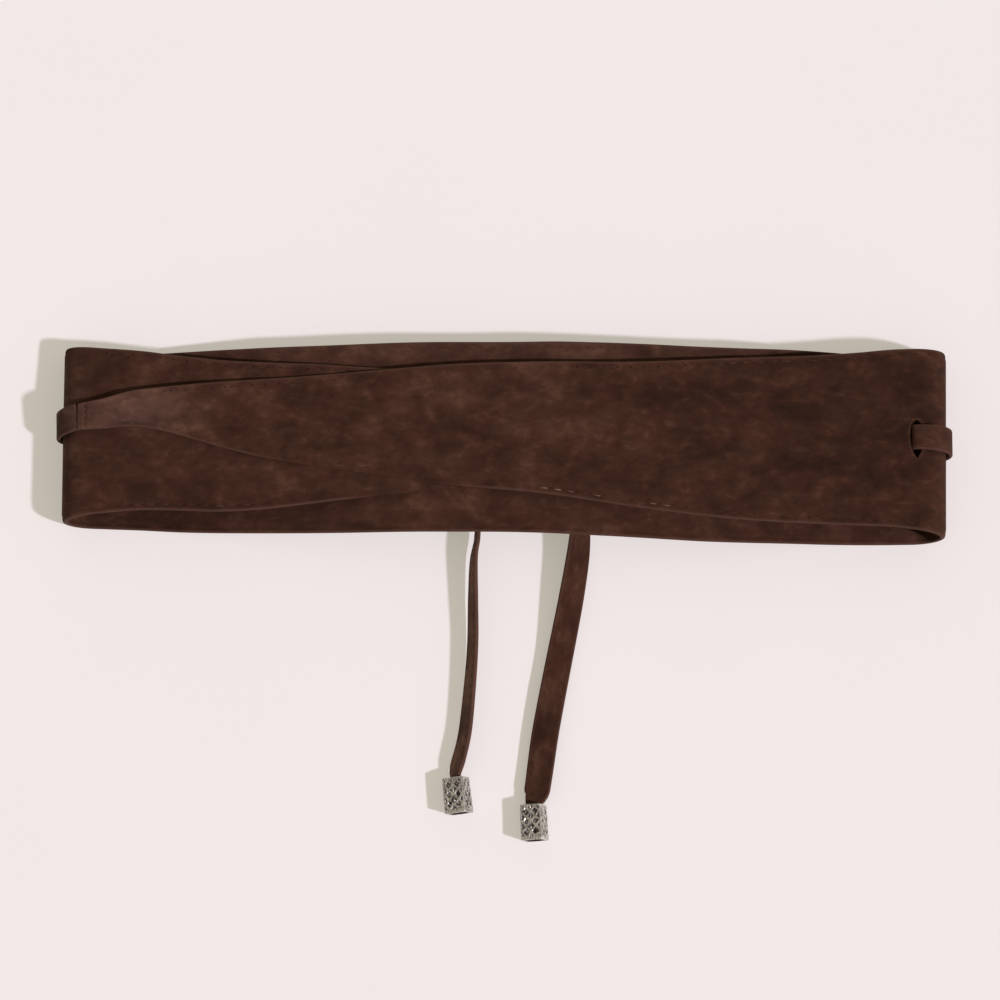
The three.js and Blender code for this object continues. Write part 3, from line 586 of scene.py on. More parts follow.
def slot_dent(band, s, x, y):
    """How far the strap presses the outer front down where it crosses it, right of the slot."""
    aside_x = (x - SLOT_DENT["x"]) / SLOT_DENT["reach_x"]
    aside_y = (y - SLOT_DENT["y"]) / SLOT_DENT["reach_y"]
    near = 1 - smoothstep(np.hypot(aside_x, aside_y), SLOT_DENT["flat_until"], 1.0)
    right = smoothstep(x, SLOT["x"] - SLOT_DENT["starts_over"], SLOT["x"] + SLOT_DENT["starts_over"])
    return (s <= band.back_start) * right * SLOT_DENT["depth"] * near


def low_edge_share(band, s, x, y, low):
    """Share of the thickness that is left near a front's low edge."""
    kept = np.ones_like(x)
    near = 1 - smoothstep(y - low, 0.0, LOW_EDGE_THIN_REACH)
    for layer, weight in (("outer", s <= band.outer_end), ("inner", s >= band.inner_start)):
        share = np.interp(x, *np.array(LOW_EDGE_THIN[layer]).T)
        kept -= weight * near * (1 - share)
    return kept


def back_edge_rise(band, s, x, y, z, high):
    """How far the back's high edge rises, as far as the fronts above leave room for it."""
    is_back = (s > band.outer_end) & (s < band.inner_start)
    highest = np.where(x > 0, BACK_EDGE_RISE["right"], BACK_EDGE_RISE["left"])
    room = np.clip(BACK_CREST_Z - BACK_EDGE_RISE["clear"] - z, 0, highest)
    along = 1 - smoothstep(np.abs(x), *BACK_EDGE_RISE_ENDS)
    return is_back * along * room * (1 - smoothstep(high - y, 0.0, BACK_EDGE_RISE["reach"]))


def shared_waves(x, y, z):
    """Soft unevenness that all layers share, so that none runs into another."""
    flat = np.stack([x, y, np.zeros_like(x)], 1)
    waves = sum(height * soft_noise(flat, scale, seed) for height, scale, seed in WAVES)
    return waves * smoothstep(z, *WAVES_GROW_Z)


def band_points(band, s, y, off):
    """Points at length s and place y across the band, off its middle surface by off."""
    x, z, low, high, normal_x, normal_z = band.at(s)
    ridge = ridge_over_strap(x, y, z)
    lift = edge_lift(band, s, x, y, low, high)
    raised = lift + back_edge_rise(band, s, x, y, z, high)
    rise = ridge + raised + shared_waves(x, y, z) - slot_dent(band, s, x, y)
    full = PANEL_THICKNESS / 2
    off = (off + full) * low_edge_share(band, s, x, y, low) - full
    x_placed = x + fold_shift(x, y, low, high) + off * normal_x
    y_placed = y - RAISED_DRAWS_IN * raised
    return settle(np.stack([x_placed, y_placed, z + rise + off * normal_z], 1))


def half_thickness(aside):
    """Half the band's thickness near an edge: rounded, and drawn in by the row of stitches."""
    rim = np.clip(aside / EDGE_ROUND, 0, 1)
    rounding = np.sqrt(1 - (1 - rim) ** 2)
    groove = STITCH["sunk"] * np.exp(-(((aside - STITCH_ROW) / STITCH["groove"]) ** 2))
    return PANEL_THICKNESS / 2 * rounding - groove


def narrowing(width):
    """How far the things along the edges draw together in the band's narrow ends."""
    return np.minimum(1, width / NARROW_BAND)


def column_places(low, high):
    """Places across the band: close together near its edges, even between them."""
    edge = np.array(EDGE_COLUMNS) * narrowing(high - low)[:, None]
    share = np.linspace(0, 1, MIDDLE_COLUMNS + 2)[1:-1]
    inner_low, inner_high = low + edge[:, -1], high - edge[:, -1]
    middle = inner_low[:, None] + share * (inner_high - inner_low)[:, None]
    return np.concatenate([low[:, None] + edge, middle, (high[:, None] - edge)[:, ::-1]], 1)


def slot_outline():
    """Half of the slot's outline, from its lower end to its upper one: distance aside, and y."""
    middle = (SLOT["low"] + SLOT["high"]) / 2
    bottom, top = SLOT["low"] - middle, SLOT["high"] - middle
    t = np.linspace(0, 1, 200)
    handle = SLOT["width"] / 2 * 4 / 3  # reaches half the width at the middle of the curve
    across = 3 * handle * t * (1 - t)
    height = (1 - t) ** 3 * bottom - 3 * (1 - t) ** 2 * t * SLOT["shoulder"] + (3 - 2 * t) * t * t * top
    return across, middle + height


def slot_half_width(y):
    """Half the slot's width at y: full at its upper end and pointed at its lower one."""
    across, height = slot_outline()
    return np.interp(y, height, across, left=0, right=0)


def band_stations(band, slot_s):
    """Lengths of the band's stations: closer together in its folds and near the slot."""
    ends = [
        (SEAM_STATIONS_END, "seam"),
        (slot_s - SLOT_EASES_OVER, "outer"),
        (slot_s, "slot"),
        (slot_s + SLOT_EASES_OVER, "slot"),
        (band.back_start, "fold"),
        (band.back_end, "back"),
        (band.inner_start, "fold"),
        (band.length, "inner"),
    ]
    runs, from_s = [], 0
    for to_s, kind in ends:
        count = max(2, round((to_s - from_s) / STATION_STEP[kind]))
        runs.append(np.linspace(from_s, to_s, count, endpoint=False))
        from_s = to_s
    return np.concatenate(runs + [[band.length]])


def layer_weights(band, s):
    """How much each layer's own things count at lengths s. One layer passes to the next in its fold."""
    past_right = smoothstep(s, band.outer_end, band.back_start)
    past_left = smoothstep(s, band.back_end, band.inner_start)
    return {"outer": 1 - past_right, "back": past_right * (1 - past_left), "inner": past_left}


def broad_tones(band, s, y):
    """Broad lighter and darker stretches of the leather, as changes of its brightness; some are painted
    light and shade.
    """
    x = band.at(s)[0]
    weights = layer_weights(band, s)
    total = np.zeros_like(s)
    for layer, at_x, at_y, reach_x, reach_y, change in TONES:
        away = np.hypot((x - at_x) / reach_x, (y - at_y) / reach_y)
        total += weights[layer] * change * (1 - smoothstep(away, 0, 1))
    return total


class BandGrid:
    """Stations and columns of the band, opened along the slot.

    One face's values are those of the grid, row by row, and then once more those of the slot's
    right rim, where the slot's own row holds the left rim.
    """

    def __init__(self, band):
        slot_s = band.s_at_outer_x(SLOT["x"])
        stations = band_stations(band, slot_s)
        _, _, low, high, _, _ = band.at(stations)
        places = column_places(low, high)
        self.rows, self.columns = places.shape
        self.slot_row = int(np.argmin(np.abs(stations - slot_s)))
        lengths = np.repeat(stations[:, None], self.columns, 1)
        to_slot = np.abs(lengths - slot_s)
        half_width = slot_half_width(places) * (to_slot <= SLOT_EASES_OVER)
        ease = np.clip(1 - to_slot / SLOT_EASES_OVER, 0, 1) ** SLOT_EASE_POWER
        side = np.where(np.arange(self.rows)[:, None] <= self.slot_row, -1, 1)
        pushed = lengths + side * half_width * ease
        self.split = [k for k in range(self.columns) if half_width[self.slot_row, k] > 0]
        right_rim = stations[self.slot_row] + half_width[self.slot_row, self.split]
        self.s = np.concatenate([pushed.ravel(), right_rim])
        self.y = self.one_face(places)
        aside = np.minimum(places - low[:, None], high[:, None] - places)
        seam = np.exp(-(((pushed - SEAM_GROOVE["from_end"]) / SEAM_GROOVE["wide"]) ** 2))
        groove = SEAM_GROOVE["deep"] * seam * (aside > SEAM_GROOVE["clear_of_edge"])
        self.aside = self.one_face(aside)
        self.half = self.one_face(half_thickness(aside) - groove)

    def one_face(self, grid):
        return np.concatenate([grid.ravel(), grid[self.slot_row, self.split]])

    def numbers(self, face, from_right=False):
        """Numbers of a face's points. The two faces share the points of the band's edges."""
        count = self.rows * self.columns
        made = np.arange(count).reshape(self.rows, self.columns)
        if from_right:
            made[self.slot_row, self.split] = count + np.arange(len(self.split))
        made[:, 1:-1] += face * len(self.s)
        return made

    def sheet(self, face):
        """Quads of one face of the leather."""
        start, end = self.numbers(face, from_right=True), self.numbers(face)
        return np.stack([start[:-1, :-1], end[1:, :-1], end[1:, 1:], start[:-1, 1:]], -1)

    def wall(self, i, from_right=False):
        """Quads through the thickness along row i. At the edges, where points meet, triangles."""
        front, back = (self.numbers(face, from_right)[i] for face in (0, 1))
        quads = np.stack([front[:-1], front[1:], back[1:], back[:-1]], -1).tolist()
        return [list(dict.fromkeys(quad)) for quad in quads]

    def faces(self):
        """Both faces of the leather, the band's two ends, and the slot's two sides."""
        sheets = np.stack([self.sheet(0), self.sheet(1)[..., ::-1]], 2)
        faces = sheets.reshape(-1, 4).tolist()
        ends = list(zip(self.wall(0), self.wall(self.rows - 1)))
        sides = list(zip(self.wall(self.slot_row), self.wall(self.slot_row, from_right=True)))
        for near, far in ends + sides[self.split[0] - 1:self.split[-1] + 1]:
            faces += [near, far[::-1]]
        return faces


def band_attributes(band, grid):
    """What the suede needs at each point of both faces: place, distance from an edge, and tone, which
    holds painted light and shade too.
    """
    s, y, aside = (np.tile(values, 2) for values in (grid.s, grid.y, grid.aside))
    x, _, low, _, _, _ = band.at(s)
    # Pressed-thin low edges count as farther from the edge, so the painted edge highlight stays off them
    aside += PANEL_THICKNESS * (1 - low_edge_share(band, s, x, y, low))
    depth = np.repeat(NOISE_DEPTHS["band"], len(grid.s))
    return {
        "leather": np.stack([s, y, depth], 1) / 1000,
        "aside": aside / 1000,
        "tone": broad_tones(band, s, y),
    }


def make_band(band, material):
    grid = BandGrid(band)
    points = np.concatenate([band_points(band, grid.s, grid.y, sign * grid.half) for sign in (1, -1)])
    faces = grid.faces()
    used = sorted({v for face in faces for v in face})
    renumber = {old: new for new, old in enumerate(used)}
    faces = [[renumber[v] for v in face] for face in faces]
    attributes = {key: values[used] for key, values in band_attributes(band, grid).items()}
    piece = make_piece("suede_band", points[used], faces, material, attributes)
    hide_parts("panel")


# The straps

ALONG_Y = np.array([0.0, 1.0, 0.0])
STRAIGHT_UP = np.array([0.0, 0.0, 1.0])


def station(x, y, z, across, width=STRAP_WIDTH, normal=None):
    """A place that a strap goes through: its middle, its width with its direction, and its normal."""
    return {"centre": np.array([x, y, z], float), "across": np.array(across, float), "width": width,
            "normal": None if normal is None else np.array(normal, float)}


def rolled_edge(roll, degrees, from_angle, outward):
    """Width direction of a strap whose high edge turns outward, and how far its middle moves."""
    gone = float(smoothstep(degrees, from_angle, roll["gone_at"]))
    angle = math.radians(roll["degrees"]) * (1 - gone)
    lifted = lerp(STRAIGHT_UP, outward, gone)
    lifted = lifted / np.linalg.norm(lifted)
    sunk = roll["sunk"] * float(1 - smoothstep(degrees, from_angle, roll["rises_by"]))
    across = ALONG_Y * math.cos(angle) + lifted * math.sin(angle)
    return across, lifted * (math.sin(angle) * STRAP_WIDTH / 2 - sunk)


def round_fold(loop, side, from_angle, from_y, settles_at=180.0, roll=None):
    """Stations round a fold. A roll turns the strap's high edge outward where it starts."""
    made = []
    for degrees in np.linspace(from_angle, 180, STRAP_STATIONS["fold"]):
        angle = math.radians(degrees)
        share = math.sin(math.pi / 2 * min(1.0, (degrees - from_angle) / (settles_at - from_angle)))
        centre = np.array([
            loop["x"] + side * loop["reach"] * squarish(math.sin(angle)),
            lerp(from_y, float(strap_run_y(loop["x"])), share),
            loop["z"] + loop["rise"] * squarish(math.cos(angle)),
        ])
        across = ALONG_Y
        if roll:
            outward = np.array([side * math.sin(angle), 0, math.cos(angle)])
            across, moved = rolled_edge(roll, degrees, from_angle, outward)
            centre = centre + moved
        made.append(station(*centre, across))
    return made


def flat_run(from_x, to_x):
    """Stations where a strap rests on the ground."""
    places = np.linspace(from_x, to_x, STRAP_STATIONS["flat"])[1:-1]
    return [station(x, float(strap_run_y(x)), STRAP_REST_Z, ALONG_Y) for x in places]


def run_to_knot(from_x, to_x, end_side):
    """Stations where a strap rises to the knot, narrows and turns onto its edge."""
    made = []
    for share in np.linspace(0, 1, STRAP_STATIONS["climb"]):
        x = lerp(from_x, to_x, share)
        rise = float(smoothstep(share, 0, 1))
        turned = math.pi / 2 * rise * rise
        across = [0, math.cos(turned), end_side * math.sin(turned)]
        width = lerp(STRAP_WIDTH, KNOT["width"], rise)
        z = lerp(STRAP_REST_Z, KNOT["z"], rise)
        made.append(station(x, float(strap_run_y(x)), z, across, width))
    return made


def through_knot(side):
    """Stations of one of the two straps that turn round each other."""
    offset = side * (STRAP_THICKNESS + KNOT["gap"]) / 2
    made = []
    for share in np.linspace(0, 1, STRAP_STATIONS["knot"]):
        angle = math.pi * KNOT["half_turns"] * share
        x = lerp(KNOT["from_x"], KNOT["to_x"], share)
        y = KNOT["y"] + offset * math.cos(angle)
        z = KNOT["z"] + offset * math.sin(angle)
        across = [0, -math.sin(angle), math.cos(angle)]
        normal = [0, -side * math.cos(angle), -side * math.sin(angle)]
        made.append(station(x, y, z, across, KNOT["width"], normal))
    return made


def turn_out(start, to_row, width):
    """Stations of the bend from the knot to a free end."""
    to_x, to_y, to_z, _, to_width = to_row
    from_x, from_y, from_z = start["centre"]
    made = []
    for degrees in np.linspace(0, 90, STRAP_STATIONS["turn"])[1:-1]:
        angle = math.radians(degrees)
        x = lerp(from_x, to_x, math.sin(angle))
        y = lerp(to_y, from_y, math.cos(angle))
        z = lerp(from_z, to_z, degrees / 90)
        made.append(station(x, y, z, start["across"], lerp(width, to_width, degrees / 90)))
    return made


def free_end(rows, bead):
    """Stations of a free end, on into its bead."""
    mouth_x, mouth_y = bead["mouth"]
    angle = math.radians(bead["heading"])
    rows = [list(row) for row in rows]
    for depth in (-STRAP_TIP["before"], STRAP_TIP["turned"], STRAP_TIP["depth"]):
        x = mouth_x + depth * math.sin(angle)
        y = mouth_y - depth * math.cos(angle)
        rows.append([x, y, STRAP_TIP["z"], rows[-1][3], STRAP_TIP["width"]])
    made = []
    for x, y, z, lean, width in rows:
        rolled = math.radians(lean)
        made.append(station(x, y, z, [math.cos(rolled), 0, math.sin(rolled)], width))
    return made


def round_shoulders(sections):
    """Gives a strap's tip round shoulders where it narrows into its bead."""
    to_mouth = sections[-1]["length"] - STRAP_TIP["depth"]
    for section in sections:
        ahead = (to_mouth - section["length"]) / STRAP_TIP["shoulder"]
        share = math.sin(math.pi / 2 * max(0.0, ahead))
        if ahead < 1:
            section["width"] = lerp(STRAP_TIP["width"], STRAP_WIDTH, share)


def centripetal(points):
    """A smooth curve and its direction, as a function of the place counted in points."""
    p = np.array(points)
    p = np.vstack([2 * p[0] - p[1], p, 2 * p[-1] - p[-2]])

    def at(place):
        i = min(int(place), len(p) - 4)
        p0, p1, p2, p3 = p[i:i + 4]
        a, b, c = (max(np.linalg.norm(d), 1e-4) ** 0.5 for d in (p1 - p0, p2 - p1, p3 - p2))
        m1 = ((p1 - p0) / a - (p2 - p0) / (a + b) + (p2 - p1) / b) * b
        m2 = ((p2 - p1) / b - (p3 - p1) / (b + c) + (p3 - p2) / c) * b
        return hermite(p1, m1, p2, m2, place - i)

    return at


def section_places(stations, step):
    """Places of a strap's sections, counted in stations and about a step apart."""
    places = []
    for i, (a, b) in enumerate(zip(stations, stations[1:])):
        count = math.ceil(np.linalg.norm(b["centre"] - a["centre"]) / step)
        places += list(i + np.arange(count) / count)
    return places + [len(stations) - 1]


def strap_sections(stations):
    """Middle, width direction, normal, width and length of many sections of a strap."""
    curve = centripetal([s["centre"] for s in stations])
    sections = []
    length = 0.0
    for place in section_places(stations, STRAP_STEP):
        i = min(int(place), len(stations) - 2)
        a, b, share = stations[i], stations[i + 1], place - i
        centre = curve(place)
        tangent = curve(min(place + 1e-3, len(stations) - 1)) - curve(max(place - 1e-3, 0))
        tangent /= np.linalg.norm(tangent)
        across = lerp(a["across"], b["across"], share)
        given = a["normal"] if share == 0 else b["normal"] if share == 1 else None
        if given is None:
            across = across - tangent * across.dot(tangent)
            across /= np.linalg.norm(across)
        normal = np.cross(tangent, across) if given is None else given
        normal = normal / np.linalg.norm(normal)
        if sections:
            length += np.linalg.norm(centre - sections[-1]["centre"])
        sections.append({"centre": centre, "across": across, "normal": normal, "length": length,
                         "width": lerp(a["width"], b["width"], share)})
    return sections


def strap_tone(node, lengths, whole):
    """Broad changes of tone along a strap; the outer strap's lighter start is painted light."""
    tone = STRAP_TONES[node]
    along = lengths if tone["end"] == "start" else whole - lengths
    return np.interp(along, *np.array(tone["rows"]).T)


def strap_rings(sections):
    """Each section's points all round, their places in the leather, and how far an edge is."""
    edge = np.array(STRAP_EDGE_COLUMNS)
    middle = np.linspace(edge[-1], STRAP_WIDTH - edge[-1], STRAP_MIDDLE_COLUMNS + 2)[1:-1]
    places = np.concatenate([edge, middle, (STRAP_WIDTH - edge)[::-1]])
    columns = len(places)
    to_edge = np.minimum(places, STRAP_WIDTH - places)
    rim = np.clip(to_edge / STRAP_EDGE_ROUND, 0, 1)
    half = STRAP_THICKNESS / 2 * np.sqrt(1 - (1 - rim) ** 2)
    sides = list(zip((1, -1), (slice(0, columns), slice(columns - 2, 0, -1)), NOISE_DEPTHS["straps"]))
    share = places / STRAP_WIDTH - 0.5
    points, leather, edges = [], [], []
    for section in sections:
        row = section["centre"] + np.outer(share * section["width"], section["across"])
        for sign, keep, depth in sides:
            points.append((row + sign * np.outer(half, section["normal"]))[keep])
            place = [np.full(columns, section["length"]), places, np.full(columns, depth)]
            leather.append(np.stack(place, 1)[keep])
            edges.append(to_edge[keep])
    return settle(np.concatenate(points)), np.concatenate(leather), np.concatenate(edges)


def cap_faces(base, ring):
    """Faces that close the ring of points that starts at base."""
    faces = []
    for k in range(ring // 2):
        corners = [base + k, base + k + 1, base + (ring - 1 - k), base + (ring - k) % ring]
        faces.append(list(dict.fromkeys(corners)))
    return faces


def make_strap(name, node, stations, material):
    sections = strap_sections(stations)
    round_shoulders(sections)
    points, leather, edges = strap_rings(sections)
    ring = len(points) // len(sections)
    faces = [[a, d, c, b] for a, b, c, d in tube_faces(len(sections), ring)]
    faces += cap_faces(0, ring)
    faces += [cap[::-1] for cap in cap_faces((len(sections) - 1) * ring, ring)]
    attributes = {"leather": leather / 1000, "aside": edges / 1000,
                  "tone": strap_tone(node, leather[:, 0], sections[-1]["length"])}
    piece = make_piece(name, points, faces, material, attributes)
    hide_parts(node)
    return sections


def from_fold_to_bead(loop, lifts_from, knot_from, side, rows, bead):
    """A strap's stations from below its fold, along the ground and through the knot to its bead."""
    flat = flat_run(loop["x"], lifts_from)
    climb = run_to_knot(lifts_from, knot_from, side)[:-1]
    knot = through_knot(side)[::side]
    return flat + climb + knot + turn_out(knot[-1], rows[0], KNOT["width"]) + free_end(rows, bead)


def outer_strap_stations():
    loop = LEFT_STRAP_LOOP
    started = (loop["x"] - SEAM_LEFT_X - SEAM_LAP) / loop["reach"]
    start = math.degrees(math.asin(started ** (1 / FOLD_POWER)))
    over = round_fold(loop, -1, start, OVER_LEFT_Y, LEFT_STRAP_SETTLES_AT, LEFT_STRAP_ROLL)
    return over + from_fold_to_bead(loop, STRAP_LIFTS["from_x"], KNOT["from_x"], 1, RIGHT_END,
                                    BEADS["bead_right"])


def inner_strap_stations():
    out = [station(x, y, z, ALONG_Y, width) for x, y, z, width in CLIMB]
    out[0]["normal"] = STRAIGHT_UP
    loop = RIGHT_STRAP_LOOP
    over = round_fold(loop, 1, CLIMB_ENDS_AT, OVER_RIGHT_Y)
    return out + over + from_fold_to_bead(loop, STRAP_LIFTS["to_x"], KNOT["to_x"], -1, LEFT_END,
                                          BEADS["bead_left"])


# Stitches

HALVES = np.array([-0.5, 0.5])
EDGE_SEEDS = {"low": 2.0, "high": 9.0}


def thread_points(start, end, up, radius):
    """Points of a short thread from start to end whose ends dive into the leather."""
    along = end - start
    side = np.cross(along, up)
    side /= np.linalg.norm(side)
    points = []
    for share, size, rise in THREAD_RINGS:
        centre = start + along * share + up * rise * radius
        for k in range(THREAD_SIDES):
            angle = 2 * math.pi * k / THREAD_SIDES
            points.append(centre + radius * size * (side * math.cos(angle) + up * math.sin(angle)))
    return np.array(points)


def thread_faces():
    """Faces of one thread, with its two ends."""
    last = (len(THREAD_RINGS) - 1) * THREAD_SIDES
    ends = [list(range(THREAD_SIDES))[::-1], list(range(last, last + THREAD_SIDES))]
    return tube_faces(len(THREAD_RINGS), THREAD_SIDES) + ends


def stitch_between(band, s_pair, y_pair, sign, shows, thread=STITCH):
    """A stitch's points on one face of the band, between two places, and how well it shows."""
    s_middle, y_middle = sum(s_pair) / 2, sum(y_pair) / 2
    s, y = np.array([*s_pair, s_middle, s_middle]), np.array([*y_pair, y_middle, y_middle])
    clear = max(0.0, shows)
    deeper = thread["radius"] * HIDDEN_THREAD["deeper"] * (1 - clear)
    surface = PANEL_THICKNESS / 2 - thread["sunk"] - deeper
    off = sign * np.array([surface, surface, surface, surface + 1])
    start, end, middle, above = band_points(band, s, y, off)
    up = (above - middle) / np.linalg.norm(above - middle)
    radius = thread["radius"] * lerp(HIDDEN_THREAD["size"], 1.0, clear)
    return thread_points(start, end, up, radius), shows


def showing(layer, edge, x):
    """How well the stitches of an edge show by the table, or None outside its stretches."""
    shows = None
    for named_layer, named_edge, from_x, to_x, amount in STITCHES_SHOW:
        if (layer, edge) == (named_layer, named_edge) and from_x <= x <= to_x:
            shows = amount
    return shows


def edge_stitch(band, edge, sign, i):
    """The i-th stitch along an edge on one face, and its needle mark where the stitches show.

    Most stitches lie deep in the nap. Their spacing is a little uneven, as sewn by machine.
    """
    seed = EDGE_SEEDS[edge]
    wander = STITCHES_WANDER["along"] * luck(i, 0.37, 4.1 * sign, seed)
    middle = STITCHES_FROM_END + (i + 0.5) * STITCH["pitch"] + wander
    ends = middle + HALVES * STITCH["length"]
    x, _, low, high, _, _ = band.at(ends)
    row = STITCH_ROW * narrowing(high - low)
    y = low + row if edge == "low" else high - row
    y = y + STITCHES_WANDER["aside"] * luck(i, 0.9, 1.7, 3.0 * sign)
    weights = layer_weights(band, ends[:1])
    layer = max(weights, key=lambda name: weights[name][0])
    amount = showing(layer, edge, x[0])
    uneven = STITCH_SHOWS["usual_share"] + luck(i, 0.71, 8.3 * sign, seed + 0.5)
    shows = float(np.clip((STITCH_SHOWS["least"] if amount is None else amount) * uneven, 0.0, 1.0))
    parts = [stitch_between(band, ends, y, sign, shows)]
    if sign > 0 and amount is not None:
        mark = ends[1] + (STITCH["pitch"] - STITCH["length"]) / 2 + HALVES * NEEDLE_MARK["length"]
        parts.append(stitch_between(band, mark, y, sign, NEEDLE_MARK["shows"], NEEDLE_MARK))
    return parts


def edge_stitches(band):
    """Rows along both edges, on both faces."""
    count = int((band.length - 2 * STITCHES_FROM_END) / STITCH["pitch"])
    parts = []
    for edge in ("low", "high"):
        for sign in (1, -1):
            for i in range(count):
                parts += edge_stitch(band, edge, sign, i)
    return parts


def slot_rim():
    """Places round the slot's middle, each with the outward direction and its way along the rim."""
    across, height = slot_outline()
    rim = np.concatenate([np.stack([across, height], 1), np.stack([-across, height], 1)[::-1]])
    around = np.gradient(rim, axis=0)
    around /= np.maximum(np.linalg.norm(around, axis=1), 1e-9)[:, None]
    outward = np.stack([around[:, 1], -around[:, 0]], 1)
    moves = np.linalg.norm(np.diff(rim, axis=0), axis=1)
    return rim, outward, np.concatenate([[0], np.cumsum(moves)])


def slot_stitches(band):
    """Overcast threads all round the slot, square to its edge."""
    slot_s = band.s_at_outer_x(SLOT["x"])
    rim, outward, along = slot_rim()
    count = int(along[-1] / OVERCAST["spacing"])
    parts = []
    for i in range(count):
        at = (i + 0.5) * along[-1] / count
        place, away = between_rows(at, along, rim), between_rows(at, along, outward)
        away /= max(np.linalg.norm(away), 1e-9)
        uneven = OVERCAST_UNEVEN * luck(i, 0.77, 3.3, 6.1)
        near, far = place + away * OVERCAST["from"], place + away * (OVERCAST["to"] + uneven)
        shows = float(np.clip(OVERCAST_SHOWS["middle"] + uneven, OVERCAST_SHOWS["least"],
                              OVERCAST_SHOWS["most"]))
        parts.append(stitch_between(band, [slot_s + near[0], slot_s + far[0]], [near[1], far[1]], 1,
                                    shows, OVERCAST))
    return parts


def seam_stitches(band):
    """A short row across the narrow end of the outer front, down in its groove."""
    from_end = SEAM_GROOVE["from_end"]
    _, _, low, high, _, _ = band.at(np.array([from_end]))
    stretch = np.array([SEAM_ROW["from"], SEAM_ROW["to"]])
    parts = []
    for i in range(SEAM_ROW["count"]):
        share = (i + stretch) / SEAM_ROW["count"]
        y = lerp(low[0] + SEAM_ROW["inset"], high[0] - SEAM_ROW["inset"], share)
        parts.append(stitch_between(band, [from_end, from_end], y, 1, SEAM_ROW["shows"]))
    return parts


def strap_stitches(node, sections):
    """Rows along both edges of a strap, on both faces."""
    lengths = [section["length"] for section in sections]
    axes = np.array([np.concatenate([section[key] for key in ("centre", "across", "normal")])
                     for section in sections])
    shown = STRAP_STITCHES_SHOW[node]
    first = STRAP_STITCH["from_end"]
    ends_at = lengths[-1] - STRAP_TIP["depth"] - STRAP_TIP["shoulder"]
    row = STRAP_WIDTH / 2 - STRAP_STITCH["row"]
    depth = STRAP_THICKNESS / 2 - STRAP_STITCH["depth"]
    parts = []
    for i in range(int((ends_at - first) / STRAP_STITCH["pitch"])):
        middle = first + (i + 0.5) * STRAP_STITCH["pitch"]
        clear = shown["from"] <= middle <= shown["to"]
        amount = shown["shows"] if clear else STRAP_STITCH_SHOWS["least"]
        shows = max(0.0, amount * (1 + STRAP_STITCH_SHOWS["uneven"] * luck(i, 0.83, 2.9, 5.5)))
        up = between_rows(middle, lengths, axes)[6:]
        up /= np.linalg.norm(up)
        ends = middle + HALVES * STRAP_STITCH["length"]
        centre, across, normal = between_rows(ends, lengths, axes).T.reshape(2, 3, 3).swapaxes(0, 1)
        for edge in (-1, 1):
            for sign in (-1, 1):
                start, end = settle(centre + edge * row * across + sign * depth * normal)
                parts.append((thread_points(start, end, sign * up, STRAP_STITCH["radius"]), shows))
    return parts


def make_stitches(band, straps, material):
    parts = edge_stitches(band) + slot_stitches(band) + seam_stitches(band)
    for node, sections in straps.items():
        parts += strap_stitches(node, sections)
    points = np.concatenate([thread for thread, _ in parts])
    points[:, 2] = np.maximum(points[:, 2], 0.0)
    size = len(THREAD_RINGS) * THREAD_SIDES
    one = thread_faces()
    faces = [[i + start for i in face] for start in range(0, len(points), size) for face in one]
    shown = np.repeat([shows for _, shows in parts], size)
    piece = make_piece("band_stitches", points, faces, material, {"shown": shown})


# The beads: square tubes, cast with crossed ribs, pellets and drops on their sides

def dome(distance, radius):
    """Height of a dome of height 1 at a distance from its middle."""
    return np.sqrt(np.clip(1 - (distance / radius) ** 2, 0, 1))


def bead_relief(across, along, width, length, seed):
    """Height of the cast ornament at places on one side, from 0 to about 1.

    across and along are measured from the side's middle. Ribs cross into lozenges, two across
    and three along, with a pellet where they cross on the middle line, a leaf in each lozenge
    of the middle and a drop in each one beside it.
    """
    places = np.stack([across, along, np.full_like(across, seed)], 1)
    across = across + ORNAMENT["wander"] * soft_noise(places, scale=2.3, seed=5.1)
    along = along + ORNAMENT["wander"] * soft_noise(places, scale=2.3, seed=9.7)
    long = length / 3
    rising, falling = along / long + 2 * across / width, along / long - 2 * across / width
    per_mm = math.hypot(1 / long, 2 / width)
    to_rib = np.minimum(*[np.abs(p - np.round(p)) for p in (rising, falling)]) / per_mm
    rib = ORNAMENT_HEIGHT["rib"] * dome(to_rib, ORNAMENT["rib"])
    row = np.round(along / long)
    pellet = dome(np.hypot(across, along - row * long), ORNAMENT["pellet"])
    cell = (np.floor(rising) + 0.5, np.floor(falling) + 0.5)
    cell_across = (cell[0] - cell[1]) * width / 4
    aside, off = across - cell_across, along - (cell[0] + cell[1]) * long / 2
    leaf_wide, leaf_long = ORNAMENT["leaf"]
    leaf = ORNAMENT_HEIGHT["leaf"] * dome(np.hypot(aside / leaf_wide, off / leaf_long), 1.0)
    drop = ORNAMENT_HEIGHT["drop"] * dome(np.hypot(aside, off), ORNAMENT["drop"])
    is_middle = np.abs(cell_across) < width / 8
    worn = 1 + ORNAMENT["worn"] * soft_noise(places, scale=1.3, seed=2.2)
    return np.maximum(np.maximum(rib, pellet), np.where(is_middle, leaf, drop)) * worn


